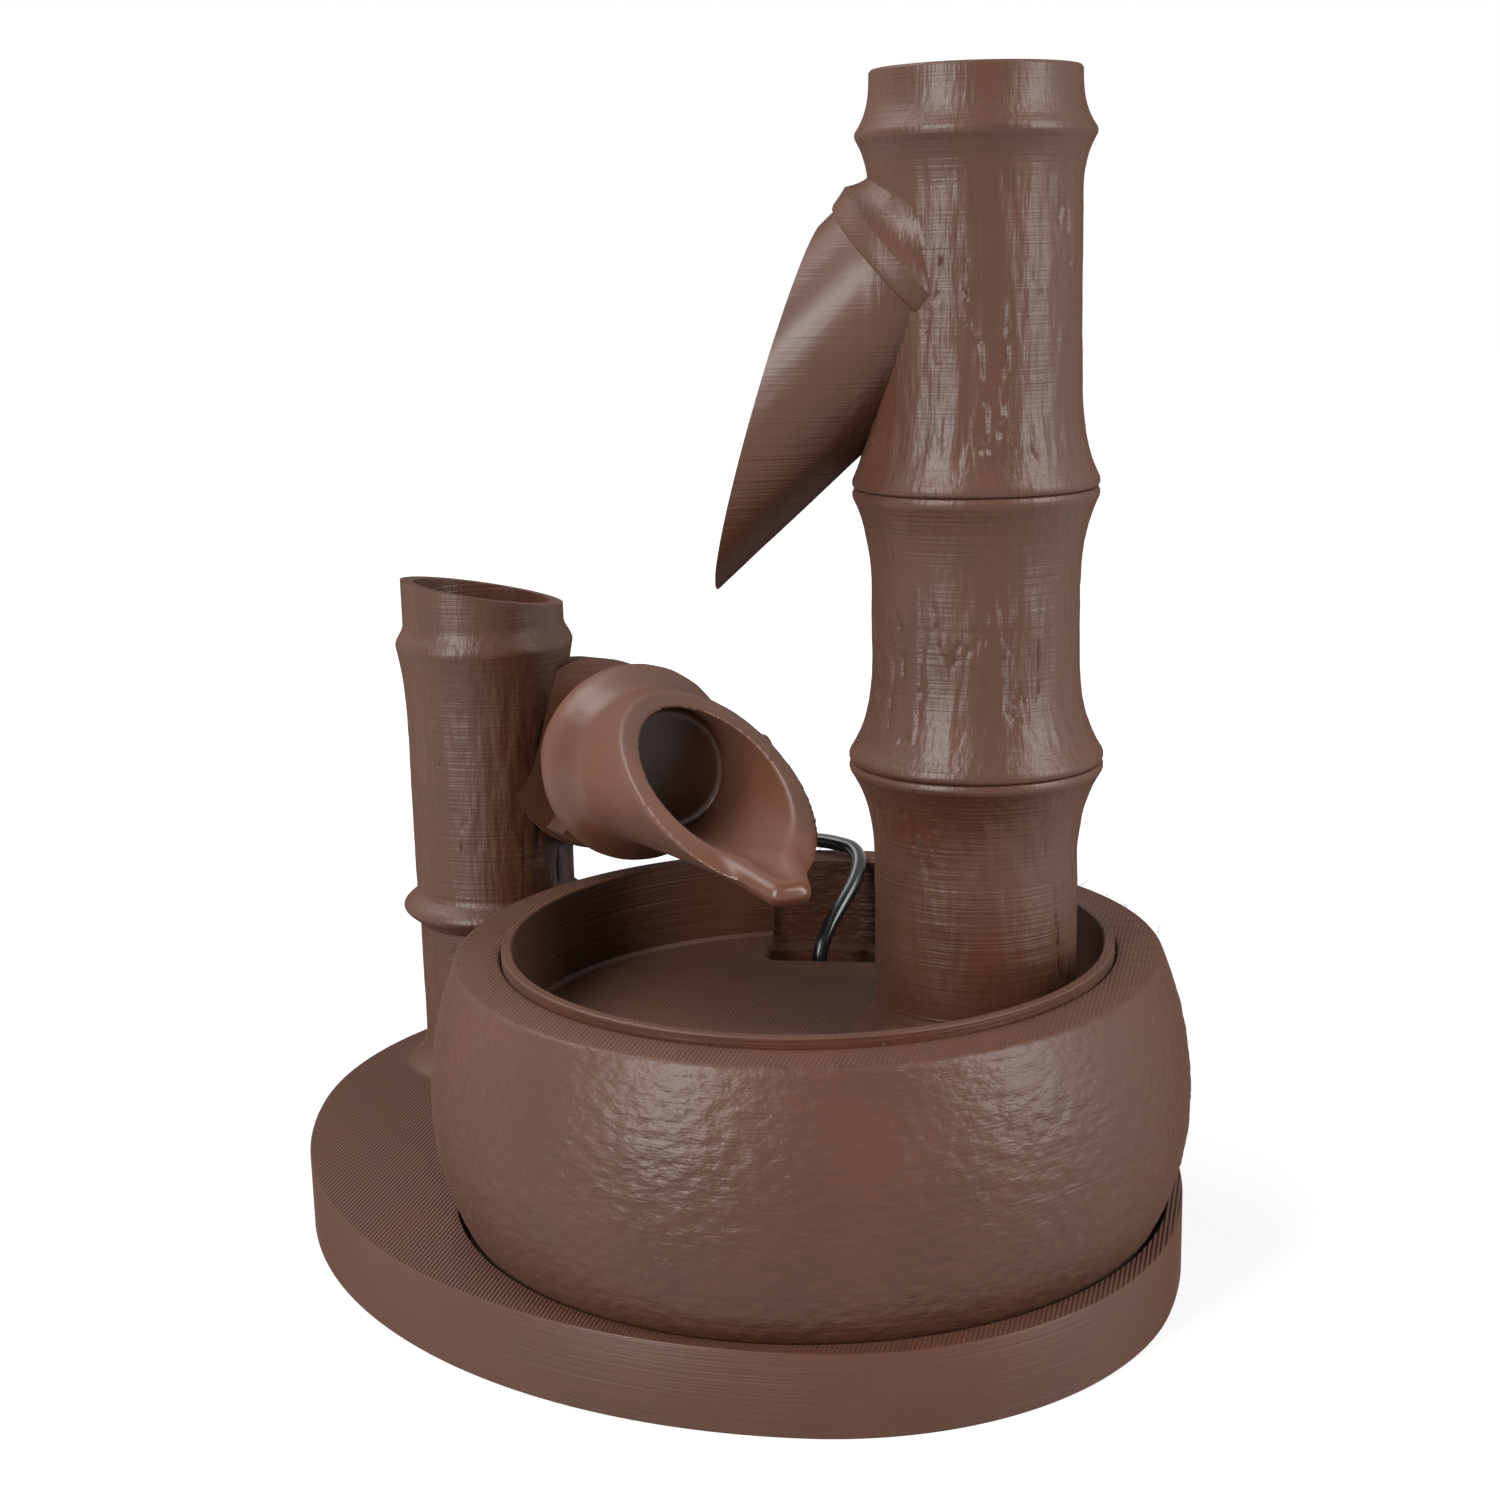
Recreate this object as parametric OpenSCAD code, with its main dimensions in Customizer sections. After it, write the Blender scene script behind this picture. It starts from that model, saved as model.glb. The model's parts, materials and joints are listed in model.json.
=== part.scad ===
// Desktop shishi odoshi: a pump lifts water up a bamboo stem, the spout fills
// a tipping cup on a short post, and the cup empties into the bowl below.
// Millimetres. The origin is under the middle of the base plate, +Y points
// from the bowl to the short post, and the plate stands on z = 0.

/* [Base plate] */
// Width of the plate's rim in front of the bowl's recess
plate_rim = 4.72; // [3:0.02:8]
// Radius of the plate's broad end, around the post
plate_back_r = 83; // [70:0.5:100]
// Distance between the centres of the two end arcs
plate_arc_gap = 61.2; // [45:0.2:80]
// Radius of the plate's long side arcs
plate_side_r = 120; // [105:1:220]
// Thickness of the plate
plate_t = 16.6; // [12:0.2:24]
// Depth of the round recess that the bowl stands in
recess_depth = 6; // [3:0.5:9]
// Clearance round the bowl in its recess
recess_gap = 1; // [0.6:0.1:2]
// Distance from the narrow end's centre to the bowl's axis
bowl_offset = 8.4; // [6:0.2:10]

/* [Bowl] */
// Height of the bowl
bowl_h = 56.8; // [48:0.2:66]
// Radius of the bowl's mouth
bowl_mouth_r = 62; // [60:0.5:64]
// Width of the bowl's flat rim
bowl_rim_w = 9; // [7:0.5:12]
// Bulge of the bowl beyond its rim
bowl_bulge = 6; // [3:0.5:8]
// Step of the bowl's foot inside its rim
bowl_foot_in = 2; // [0:0.5:6]
// Depth of the widest place below the rim
bowl_bulge_drop = 29; // [22:0.5:34]
// Width of the ledge that carries the tray
bowl_ledge_w = 6; // [4:0.5:8]
// Thickness of the bowl's floor
bowl_floor_t = 3; // [2:0.2:5]

/* [Tray] */
// Clearance between tray and bowl
tray_gap = 0.3; // [0.2:0.1:0.6]
// Thickness of the tray's wall
tray_wall = 2.1; // [1.6:0.1:3]
// Height of the tray's rim above the bowl's rim
tray_rise = 2; // [0:0.5:5]
// Depth of the tray's floor below the bowl's rim
tray_drop = 17; // [12:0.5:22]
// Thickness of the tray's floor
tray_floor_t = 2.6; // [2:0.2:4]
// Width of the notch for the cable
notch_w = 28; // [22:1:34]
// Distance from the bowl's axis to the notch's inner edge
notch_reach = 39; // [36:0.5:40]
// Direction of the notch from the bowl's axis, in degrees
notch_dir = 51.5; // [47:0.5:56]
// Radius of the notch's inner corners
notch_corner_r = 4; // [2:0.5:6]

/* [Tall bamboo] */
// Distance of the stem's axis from the tray's wall
stem_edge = 25.52; // [24:0.02:28]
// Direction of the stem from the bowl's axis, in degrees
stem_dir = -37.61; // [-42:0.01:-34]
// Waist radius of the stem
stem_waist_r = 20.1; // [19.6:0.1:21]
// Radius of the foot fillet on the tray's floor
stem_foot_r = 26; // [24:0.5:28]
// Radius of the lips at the lower joint
joint_low_r = 24.9; // [24:0.1:26]
// Radius of the lips at the upper joint
joint_high_r = 23.7; // [23:0.1:25]
// Radius of the node ring near the top
stem_ring_r = 22.5; // [21.5:0.1:24]
// Radius of the top rim
stem_rim_r = 19.8; // [19.4:0.1:20.5]
// Length of the lowest segment, from the tray's floor
riser_len = 55.6; // [50:0.2:70]
// Length of the middle segment
middle_len = 53.4; // [48:0.2:70]
// Length of the top segment
top_len = 76.9; // [76:0.2:90]
// Distance from the node ring to the top rim
ring_drop = 11.6; // [9:0.2:14]
// Radius of the stem's bore
stem_bore_r = 15; // [13:0.2:15.4]
// Outer radius of the spigots at the joints
spigot_r = 17.4; // [16.8:0.1:17.8]
// Height of the spigots
spigot_h = 8; // [5:0.5:12]
// Clearance of each spigot in its socket
spigot_gap = 0.2; // [0.15:0.05:0.4]

/* [Spout] */
// Outer radius of the spout
spout_r = 18.5; // [17.2:0.1:18.8]
// Wall of the spout
spout_wall = 2.4; // [1.8:0.1:3.4]
// Length of the spout along its axis, from the stem's axis to its tip
spout_len = 86; // [70:0.5:92]
// Slope of the spout below the horizontal, in degrees
spout_slope = 42.4; // [38:0.1:48]
// Direction that the spout points in, in degrees
spout_dir = 137; // [130:0.5:150]
// Angle between the spout's axis and its slanted cut, in degrees
spout_cut = 30.2; // [27:0.2:34]
// Depth of the spout's start below the stem's top
spout_drop = 25.6; // [24:0.2:28]
// Radius of the node ring round the spout
spout_ring_r = 20.2; // [19.4:0.1:21.5]
// Place of that ring's ridge along the spout
spout_ring_at = 14.6; // [13:0.2:18]
// Width of that ring
spout_ring_w = 9; // [6:0.5:11]

/* [Short post] */
// Sideways place of the post's axis from the bowl's axis
post_dx = -21.6; // [-26:0.2:-18]
// Distance of the post's axis behind the bowl's bulge
post_clear = 26.4; // [24:0.2:31]
// Waist radius of the post
post_r = 18.6; // [18.2:0.1:19.2]
// Radius of the upper node ring
post_ring_r = 20.5; // [19.6:0.1:21.5]
// Radius of the lower node ring
post_lip_r = 21.9; // [20.5:0.1:23]
// Radius of the stub under the sleeve
stub_r = 18.2; // [17.4:0.1:19]
// Height of the stub above the plate
stub_h = 35.3; // [28:0.1:40]
// Radius of the stub's foot fillet
stub_foot_r = 24; // [22:0.5:27]
// Length of the sleeve at its axis
sleeve_len = 77.5; // [74:0.5:90]
// Wall of the sleeve
sleeve_wall = 3; // [2.4:0.1:3.6]
// Slant of the sleeve's top, in degrees
sleeve_slant = 10.5; // [0:0.5:20]
// Direction in which the sleeve's top falls, in degrees
sleeve_fall_dir = -14; // [-60:1:0]

/* [Tipper] */
// Sideways place of the mouth's centre from the bowl's axis
mouth_dx = -15; // [-17:0.2:-13]
// Distance of the mouth's centre in front of the post's axis
mouth_ahead = 94.4; // [92.4:0.2:96.4]
// Height of the mouth's centre above the bowl's rim
mouth_rise = 34.2; // [33.4:0.2:38]
// Direction that the mouth points in, in degrees
tipper_dir = -99; // [-100:0.5:-98]
// Rise of the mouth at rest, in degrees
tipper_tilt = 7.3; // [6:0.1:8]
// Outer radius of the mouth's rim
mouth_r = 17.4; // [16.6:0.1:18]
// Inner radius of the cup
cup_r = 13.2; // [12:0.1:14]
// Depth of the cup behind the mouth's centre
cup_depth = 30; // [26:0.5:32]
// Angle between the cup's axis and its slanted mouth, in degrees
mouth_cut = 31; // [28:0.5:36]
// Waist radius of the tipper
tipper_r = 16.8; // [16:0.1:17.2]
// Radius of the tipper's node
tipper_node_r = 21.7; // [20:0.1:22]
// Distance of the node behind the mouth's centre
tipper_node_at = 48.3; // [46:0.1:50]
// Distance of the tail's end behind the mouth's centre
tail_at = 70; // [68:0.5:70.5]
// Reach of the pouring lip beyond the mouth
lip_reach = 6.5; // [4:0.5:8]
// Width of the pouring lip's tip
lip_w = 8.4; // [6:0.2:10]
// Radius of the counterweight, a disc behind the tail's plug
slug_r = 10.2; // [8:0.1:11.5]
// Thickness of the counterweight
slug_len = 1.5; // [0.5:0.1:4]
// Length of the hollow in the tail, which holds the counterweight
chamber_len = 15.6; // [12:0.2:16.4]

/* [Pivot] */
// Distance of the pivot behind the mouth's centre
pivot_at = 39; // [38:0.2:40]
// Depth of the pivot below the cup's axis
pivot_drop = 2; // [0:0.2:3]
// Radius of the pivot pin
pin_r = 2; // [1.5:0.1:2.4]
// Running clearance of the pin in the tipper
pin_gap = 0.05; // [0.02:0.01:0.09]
// Clearance between the tipper and its bracket
tip_gap = 1; // [0.8:0.1:1.4]
// Thickness of the bracket's arm
arm_t = 4; // [3:0.2:5]
// Radius of the arm's round end
arm_end_r = 6; // [5:0.2:7]
// Radius of the bracket's drum
drum_r = 22; // [20.5:0.1:22.5]
// Length of the bracket's drum
drum_len = 17; // [14:0.5:20]
// Clearance between the tail's end and the drum
drum_gap = 5; // [4:0.2:6]

/* [Pump] */
// Width of the pump
pump_w = 30; // [28:0.5:31]
// Height of the pump's body
pump_h = 25; // [23:0.5:26]
// Length of the motor housing
motor_len = 31; // [29:0.5:33]
// Half the length of the impeller chamber's block
volute_half = 5.5; // [5:0.1:6]
// Depth of the intake cover
intake_len = 4.5; // [3.5:0.1:6]
// Height of the suction feet
foot_h = 3; // [2:0.2:4]
// Radius of the pump's shaft
shaft_r = 1.5; // [1:0.1:1.8]
// Radius of the rotor magnet
magnet_r = 5.7; // [5:0.1:6]
// Outer radius of the riser hose
hose_r = 5; // [4.4:0.1:5.4]
// Wall of the riser hose
hose_wall = 1.35; // [1:0.05:1.6]

/* [Cable] */
// Diameter of the cable
cable_d = 3.4; // [3:0.1:3.6]
// Mean radius of the coil's outermost turn
coil_out_r = 24.8; // [22:0.2:28]
// Turns that the coil winds in, and again out
coil_turns = 3; // [2:1:4]

/* [Hidden] */
$fn = 96;

BROWN = "#5b3a2c";
DARK = "#26282b";

// Overrun of every cut
over = 1;
// Clearance between fixed pieces that face each other
seat_gap = 0.1;
// Points along each curved stretch of an outline
steps = 12;

// Bowl and its recess
bowl_rim_r = bowl_mouth_r + bowl_rim_w;
bowl_bulge_r = bowl_rim_r + bowl_bulge;
bowl_foot_r = bowl_rim_r - bowl_foot_in;
recess_r = bowl_r(recess_depth) + recess_gap;

// Plate: centres of the two end arcs, so that the outline is centred on the origin
plate_front_r = recess_r - bowl_offset + plate_rim;
front_cy = -(plate_arc_gap + plate_back_r - plate_front_r) / 2;
back_cy = front_cy + plate_arc_gap;
// Side arcs touch both end arcs from inside: their centre in plan
side_in_front = plate_side_r - plate_front_r;
side_in_back = plate_side_r - plate_back_r;
side_k = (side_in_front * side_in_front - side_in_back * side_in_back
  + plate_arc_gap * plate_arc_gap) / (2 * plate_arc_gap);
side_cx = sqrt(side_in_front * side_in_front - side_k * side_k);
side_from = atan2(-side_k, side_cx);
side_to = atan2(plate_arc_gap - side_k, side_cx);

// Places of the main axes
bowl_y = front_cy + bowl_offset;
stem_out = bowl_mouth_r - tray_gap - tray_wall - stem_edge;
stem_x = stem_out * cos(stem_dir);
stem_y = bowl_y + stem_out * sin(stem_dir);
post_x = post_dx;
post_y = bowl_y + bowl_bulge_r + post_clear;
mouth_y = post_y - mouth_ahead;

// Levels
bowl_z = plate_t - recess_depth;
rim_z = bowl_z + bowl_h;
pump_z = bowl_z + bowl_floor_t;
tray_floor_z = rim_z - tray_drop;
tray_z = tray_floor_z - tray_floor_t;
low_joint_z = tray_floor_z + riser_len;
high_joint_z = low_joint_z + middle_len;
stem_top_z = high_joint_z + top_len;
spout_z = stem_top_z - spout_drop;
sleeve_z = plate_t + stub_h;
mouth_z = rim_z + mouth_rise;

// Stem details
lip_band = 1.6;
flare_h = 22;
lip_chamfer = 0.8;
ring_band = 0.5;
ring_above_h = 11;
ring_below_h = 13;
foot_fillet_h = 8;
socket_depth_gap = 0.6;
partition_rise = 2;
partition_t = 3;
cup_top_depth = 9;
cup_top_r = 16.8;
chamber_r = 16.4;
spout_bore_start = 4;
spout_ring_step = 0.8;

// Post details
post_bore_r = post_r - sleeve_wall;
stub_spigot_h = 12;
post_ring_drop = 12;
post_lip_rise = 3.4;
post_taper_h = 26;
post_ring_half = 5;
peg_r = 5;
peg_gap = 0.1;
peg_past = 3;

// Tipper details, along its own axis and up from it
node_half = 13;
tail_round = 4;
plug_t = 4;
chamber_gap = 0.3;
boss_r = 5;
pin_left = 11.5;
pin_head_r = 3.6;
pin_head_t = 1.5;
washer_t = 0.6;
washer_r = 4.5;
washer_gap = 0.1;
arm_in = tipper_node_r + tip_gap;
boss_right = arm_in - washer_t - 2 * washer_gap;
arm_mid = -pivot_drop;
slug_at = tail_at - plug_t - chamber_gap - slug_len / 2;
cradle_reach = 13;
cradle_half_angle = 42;
cradle_gap = 0.35;
cradle_wall = 4;
web_half = 6;
lip_ball_r = 2.4;
lip_spread = 7.5;
lip_back = 12;
lip_fall = 2.6;
lip_groove_r = 3.4;
lip_groove_tilt = 5.8;

// Pump details
shell_t = 1.6;
corner_r = 3;
well_r = magnet_r + 0.7;
well_wall = 1.2;
well_len = 20;
cap_t = 1.8;
chamber_pump_r = 9.6;
chamber_half = 4;
nozzle_r = hose_r - hose_wall;
nozzle_wall = 1;
nozzle_h = 9;
hose_fit = 0.05;
rotor_gap = 0.05;
bush_r = 3;
bush_len = 2;
impeller_r = 8.4;
impeller_disc_t = 1.2;
vane_h = 4.2;
vane_t = 1;
vane_count = 6;
slot_w = 1.4;
slot_pitch = 3;
slot_count = 7;
pump_foot_r = 4;
pump_foot_in = 6;
gland_len = 9;
gland_r = 3.6;
gland_tip_r = 2.5;
core_leg = 3.5;
core_h = 12;
core_gap = 0.3;
winding_t = 3;

motor_y0 = volute_half;
motor_y1 = motor_y0 + motor_len;
motor_axis_h = foot_h + pump_h / 2;

// Coil: where its outermost turn starts and ends on the ground
coil_centre = [105.8, 78.1];
coil_start_angle = 145;
coil_floor = cable_d / 2 + 0.1;
coil_layer = cable_d + 0.9;
coil_pitch = cable_d + 0.9;
coil_rings = 24;
coil_sides = 6;
coil_total = 2 * coil_turns + 0.5;
coil_end_angle = coil_start_angle - 360 * coil_total;
function coil_place(a, z) = [coil_centre[0] + coil_out_r * cos(a),
  coil_centre[1] + coil_out_r * sin(a), z];
coil_start = coil_place(coil_start_angle, coil_floor);
coil_end = coil_place(coil_end_angle, coil_floor + coil_layer);
lead = 1.5 * cable_d;
coil_points = coil_path();
coil_in = unit(coil_points[1] - coil_points[0]);
coil_out = unit(coil_points[len(coil_points) - 1] - coil_points[len(coil_points) - 2]);

// Cable: route points, chosen by hand, from the gland over the bowl's rim to the coil
gland_end = [stem_x, stem_y + motor_y1 + gland_len, pump_z + motor_axis_h];
run_points = concat([for (d = [[0, 0, 0], [0, 3.8, 0], [0, 6.7, 1.4], [-0.6, 8.7, 5.4],
    [-1.4, 9.3, 10.9]]) gland_end + d],
  [[25, 5, 46], [25.5, 5.4, 51.5], [28.5, 6.4, 56.5], [33, 8, 60.5], [38, 10.2, 64.5],
  [41.5, 13.4, 67.8], [43, 18, 69.6], [42.5, 23, 69.8], [40.6, 28, 69.8], [39, 32.8, 68.8],
  [37.8, 36.6, 64.5], [37.3, 39.8, 59.5], [37.2, 42.4, 52], [37.4, 43.8, 44], [38, 45, 36],
  [39.6, 46.8, 28.5], [43, 49.6, 22], [48, 53, 19], [54, 57, 18.4], [61, 62.5, 18.4],
  [67.5, 68.5, 18.7], [72.6, 73.6, 17.8], [76.4, 78.2, 11.5], [79, 82.4, 5.4]],
  [coil_start - lead * coil_in, coil_start]);
run_sides = 8;
plug_at = [108, 30, 4];
tail_points = [coil_end, coil_end + lead * coil_out, [119.3, 54.1, 5.4],
  [115.5, 48.5, 4.7], [112.3, 43.6, 4.2], [109.6, 39.2, 4], plug_at + [0, lead, 0], plug_at];
grip_len = 20;
grip_w = 15;
grip_h = 7.6;
boot_len = 7;
boot_r = 3.2;
boot_tip_r = 2.4;
shell_len = 12;
shell_w = 12;
shell_h = 4.5;
shell_wall = 0.4;
tongue_t = 1.8;

// Radius added by a trumpet flare at a distance from the lip
function flare(d, depth, h) = depth * pow(max(0, 1 - d / h), 3);
// Radius added by a rounded node ring at a distance from its middle
function bump(d, depth, half) = abs(d) >= half ? 0 : depth * (1 + cos(180 * d / half)) / 2;
function lerp(a, b, t) = a + (b - a) * t;

function stem_r(z, len, low, high) = stem_waist_r
  + flare(max(0, z - lip_band), low - stem_waist_r, flare_h)
  + flare(max(0, len - z - lip_band), high - stem_waist_r, flare_h);
// Outline of a plain stem segment, from its lower to its upper lip
function stem_outline(len, low, high) = concat([[0, 0], [low - lip_chamfer, 0]],
  [for (i = [0 : 2 * steps]) let (z = lerp(lip_chamfer, len - lip_chamfer, i / (2 * steps)))
    [stem_r(z, len, low, high), z]],
  [[high - lip_chamfer, len], [0, len]]);
// Outline of the top segment: lower lip, slim waist, node ring and straight rim
function top_r(z) = let (ring_z = top_len - ring_drop)
  lerp(stem_waist_r, stem_rim_r, z / top_len)
  + flare(max(0, z - lip_band), joint_high_r - stem_waist_r, flare_h)
  + flare(max(0, abs(z - ring_z) - ring_band), stem_ring_r - stem_rim_r,
    z > ring_z ? ring_above_h : ring_below_h);
function top_outline() = concat([[0, 0], [joint_high_r - lip_chamfer, 0]],
  [for (i = [0 : 4 * steps]) let (z = lerp(lip_chamfer, top_len, i / (4 * steps))) [top_r(z), z]],
  [[0, top_len]]);
// Outline of the post's sleeve, grown by g, up to a length h
function sleeve_r(z) = post_r
  + bump(z - post_lip_rise, post_lip_r - post_r, post_lip_rise + lip_chamfer)
  + sleeve_ring(sleeve_len - post_ring_drop - z);
function sleeve_ring(d) = d > 0 ? flare(d, post_ring_r - post_r, post_taper_h)
  : bump(d, post_ring_r - post_r, post_ring_half);
function sleeve_outline(h, g) = concat([[0, 0]],
  [for (i = [0 : 5 * steps]) let (z = h * i / (5 * steps)) [sleeve_r(z) + g, z]],
  [[0, h]]);
// Outline of the tipper along its axis: rounded tail, node, waist and mouth
function tipper_out_r(s) = lerp(tipper_r, mouth_r, max(0, 1 + s / cup_depth))
  + bump(s + tipper_node_at, tipper_node_r - tipper_r, node_half);
function tipper_outline(front) = concat([[0, -tail_at]],
  [for (i = [0 : steps / 2]) let (a = 180 * i / steps)
    [tipper_r - tail_round * (1 - sin(a)), -tail_at + tail_round * (1 - cos(a))]],
  [for (i = [1 : 4 * steps]) let (s = lerp(tail_round - tail_at, front, i / (4 * steps)))
    [tipper_out_r(s), s]],
  [[0, front]]);
// Outline of the bowl: arcs above and below its widest place
function bowl_r(z) = let (wide_z = bowl_h - bowl_bulge_drop)
  z > wide_z ? bowl_bulge_r - (bowl_bulge_r - bowl_rim_r) * pow((z - wide_z) / bowl_bulge_drop, 2)
    : bowl_bulge_r - (bowl_bulge_r - bowl_foot_r) * pow((wide_z - z) / wide_z, 2);

// Egg-shaped slab: two end discs, and on each side the sector of a large disc between them
module egg(h) {
  translate([0, front_cy, 0]) cylinder(r = plate_front_r, h = h, $fn = 180);
  translate([0, back_cy, 0]) cylinder(r = plate_back_r, h = h, $fn = 180);
  for (m = [0, 1]) mirror([m, 0, 0]) translate([-side_cx, front_cy + side_k, 0]) intersection() {
    cylinder(r = plate_side_r, h = h, $fn = 180);
    linear_extrude(h) polygon([[0, 0],
      [2 * plate_side_r * cos(side_from), 2 * plate_side_r * sin(side_from)],
      [2 * plate_side_r * cos(side_to), 2 * plate_side_r * sin(side_to)]]);
  }
}

// Trumpet foot of a post: a ring whose outside falls away from the post's wall
module foot_fillet(r, foot_r, h) {
  rotate_extrude() polygon(concat([[0, 0]],
    [for (i = [0 : steps]) let (a = 90 * i / steps)
      [foot_r - (foot_r - r) * sin(a), h * (1 - cos(a))]], [[0, h]]));
}

// Block with rounded upright edges
module rounded_block(w, l, h, r) {
  linear_extrude(h) {
    translate([-w / 2 + r, -l / 2]) square([w - 2 * r, l]);
    translate([-w / 2, -l / 2 + r]) square([w, l - 2 * r]);
    for (x = [r - w / 2, w / 2 - r], y = [r - l / 2, l / 2 - r]) translate([x, y]) circle(r);
  }
}

// Frame of the tipper: x along its axis out of the mouth, y to its right, z up
module tipper_frame() {
  translate([mouth_dx, mouth_y, mouth_z]) rotate([0, -tipper_tilt, tipper_dir])
    children();
}
module turned_along_x() { rotate([0, 90, 0]) rotate([0, 0, 90]) children(); }
module at_stem(z) { translate([stem_x, stem_y, z]) children(); }
module at_bowl(z) { translate([0, bowl_y, z]) children(); }
module at_post(z) { translate([post_x, post_y, z]) children(); }
module at_pump() { translate([stem_x, stem_y, pump_z]) children(); }
module along_pump(y0) { translate([0, y0, motor_axis_h]) rotate([-90, 0, 0]) children(); }

module base_plate() {
  color(BROWN) difference() {
    union() {
      egg(plate_t);
      at_post(plate_t - over) cylinder(r = stub_r, h = stub_h + over);
      at_post(plate_t) foot_fillet(stub_r, stub_foot_r, foot_fillet_h);
      at_post(sleeve_z - over) cylinder(r = post_bore_r - spigot_gap, h = stub_spigot_h + over);
    }
    at_bowl(bowl_z) cylinder(r = recess_r, h = recess_depth + over);
    at_post(sleeve_z - stub_spigot_h)
      cylinder(r = post_bore_r - spigot_gap - sleeve_wall, h = 2 * stub_spigot_h + over);
  }
}

module peg_line() {
  hub = drum_middle();
  translate([post_x, post_y, hub[2]]) rotate([0, 0, atan2(hub[1] - post_y, hub[0] - post_x)])
    rotate([0, 90, 0]) children();
}
// Middle of the bracket's drum, in the part's frame
function drum_middle() = let (s = tail_at + drum_gap + drum_len / 2)
  [mouth_dx - s * cos(tipper_tilt) * cos(tipper_dir),
    mouth_y - s * cos(tipper_tilt) * sin(tipper_dir), mouth_z - s * sin(tipper_tilt)];

module sleeve_solid(g) {
  at_post(sleeve_z) rotate_extrude() polygon(sleeve_outline(sleeve_len + post_r, g));
}

module post_sleeve() {
  color(BROWN) difference() {
    sleeve_solid(0);
    at_post(sleeve_z - over) cylinder(r = post_bore_r, h = sleeve_len + 2 * post_r);
    at_post(sleeve_z + sleeve_len) rotate([0, 0, sleeve_fall_dir]) rotate([0, sleeve_slant, 0])
      translate([0, 0, post_r]) cube([6 * post_r, 6 * post_r, 2 * post_r], center = true);
    peg_line() cylinder(r = peg_r + peg_gap, h = 2 * post_r);
  }
}

module tipper_bracket() {
  drum_x = -(tail_at + drum_gap);
  color(BROWN) difference() {
    union() {
      difference() {
        union() {
          tipper_frame() translate([drum_x - drum_len, 0, 0]) rotate([0, 90, 0])
            cylinder(r = drum_r, h = drum_len);
          tipper_frame() cradle(drum_x);
          tipper_frame() arm(drum_x);
        }
        sleeve_solid(seat_gap);
      }
      difference() {
        peg_line() translate([0, 0, post_bore_r - peg_past]) cylinder(r = peg_r, h = post_r);
        tipper_frame() translate([drum_x + over / 2, -drum_r, -drum_r])
          cube([drum_len, 2 * drum_r, 2 * drum_r]);
      }
    }
    tipper_frame() pin_line() cylinder(r = pin_r, h = 2 * arm_in);
  }
}
// Ledge under the tail, which the tipper falls back on
module cradle(drum_x) {
  seat_r = tipper_r + cradle_gap;
  intersection() {
    translate([drum_x - over, 0, 0]) rotate([0, 90, 0]) difference() {
      cylinder(r = seat_r + cradle_wall, h = cradle_reach + over);
      translate([0, 0, -over]) cylinder(r = seat_r, h = cradle_reach + 3 * over);
    }
    translate([drum_x - over, 0, 0]) rotate([90, 0, 90]) linear_extrude(cradle_reach + over)
      polygon([[0, 0], [-2 * drum_r * sin(cradle_half_angle), -2 * drum_r * cos(cradle_half_angle)],
        [2 * drum_r * sin(cradle_half_angle), -2 * drum_r * cos(cradle_half_angle)]]);
  }
}
// Arm on the tipper's right side, with a web to the drum
module arm(drum_x) {
  arm_len = tail_at + drum_gap + drum_len - pivot_at;
  translate([-pivot_at, arm_in, arm_mid]) rotate([-90, 0, 0]) cylinder(r = arm_end_r, h = arm_t);
  translate([-pivot_at - arm_len, arm_in, arm_mid - arm_end_r])
    cube([arm_len, arm_t, 2 * arm_end_r]);
  translate([drum_x - drum_len, drum_r / 2, arm_mid - web_half])
    cube([drum_len, arm_in + arm_t / 2 - drum_r / 2, 2 * web_half]);
}
// Line of the pivot, from the tipper's left wall to its right
module pin_line() {
  translate([-pivot_at, -pin_left, -pivot_drop]) rotate([-90, 0, 0]) children();
}

module pivot_pin() {
  reach = pin_left + arm_in + arm_t;
  color("silver") tipper_frame() pin_line() {
    cylinder(r = pin_r - pin_gap / 5, h = reach);
    translate([0, 0, reach]) cylinder(r = pin_head_r, h = pin_head_t);
  }
}

module thrust_washer() {
  color("ivory") tipper_frame() pin_line() translate([0, 0, pin_left + boss_right + washer_gap])
    difference() {
      cylinder(r = washer_r, h = washer_t);
      translate([0, 0, -over]) cylinder(r = pin_r + pin_gap, h = washer_t + 2 * over);
    }
}

module tipper() {
  lip_s = mouth_r / tan(mouth_cut);
  front = lip_s + 2 * over;
  color(BROWN) tipper_frame() difference() {
    union() {
      difference() {
        turned_along_x() rotate_extrude() polygon(tipper_outline(front));
        // Slanted mouth
        rotate([90, 0, 0]) translate([0, 0, -2 * mouth_r]) linear_extrude(4 * mouth_r)
          polygon([[lip_s, -mouth_r], [-lip_s, mouth_r], [-2 * lip_s, 2 * mouth_r],
            [3 * lip_s, 2 * mouth_r], [3 * lip_s, -2 * mouth_r],
            [lip_s + mouth_r / tan(mouth_cut), -2 * mouth_r]]);
      }
      pouring_lip(lip_s);
      translate([-pivot_at, 0, -pivot_drop]) rotate([-90, 0, 0]) cylinder(r = boss_r, h = boss_right);
    }
    // Cup
    translate([-cup_depth, 0, 0]) rotate([0, 90, 0]) cylinder(r = cup_r, h = cup_depth + lip_s);
    lip_groove(lip_s);
    // Chamber of the counterweight and the plug's seat
    translate([-tail_at - over, 0, 0]) rotate([0, 90, 0])
      cylinder(r = slug_r + chamber_gap, h = over + plug_t + chamber_len);
    pin_line() cylinder(r = pin_r + pin_gap, h = pin_left + boss_right + over);
  }
}
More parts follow.
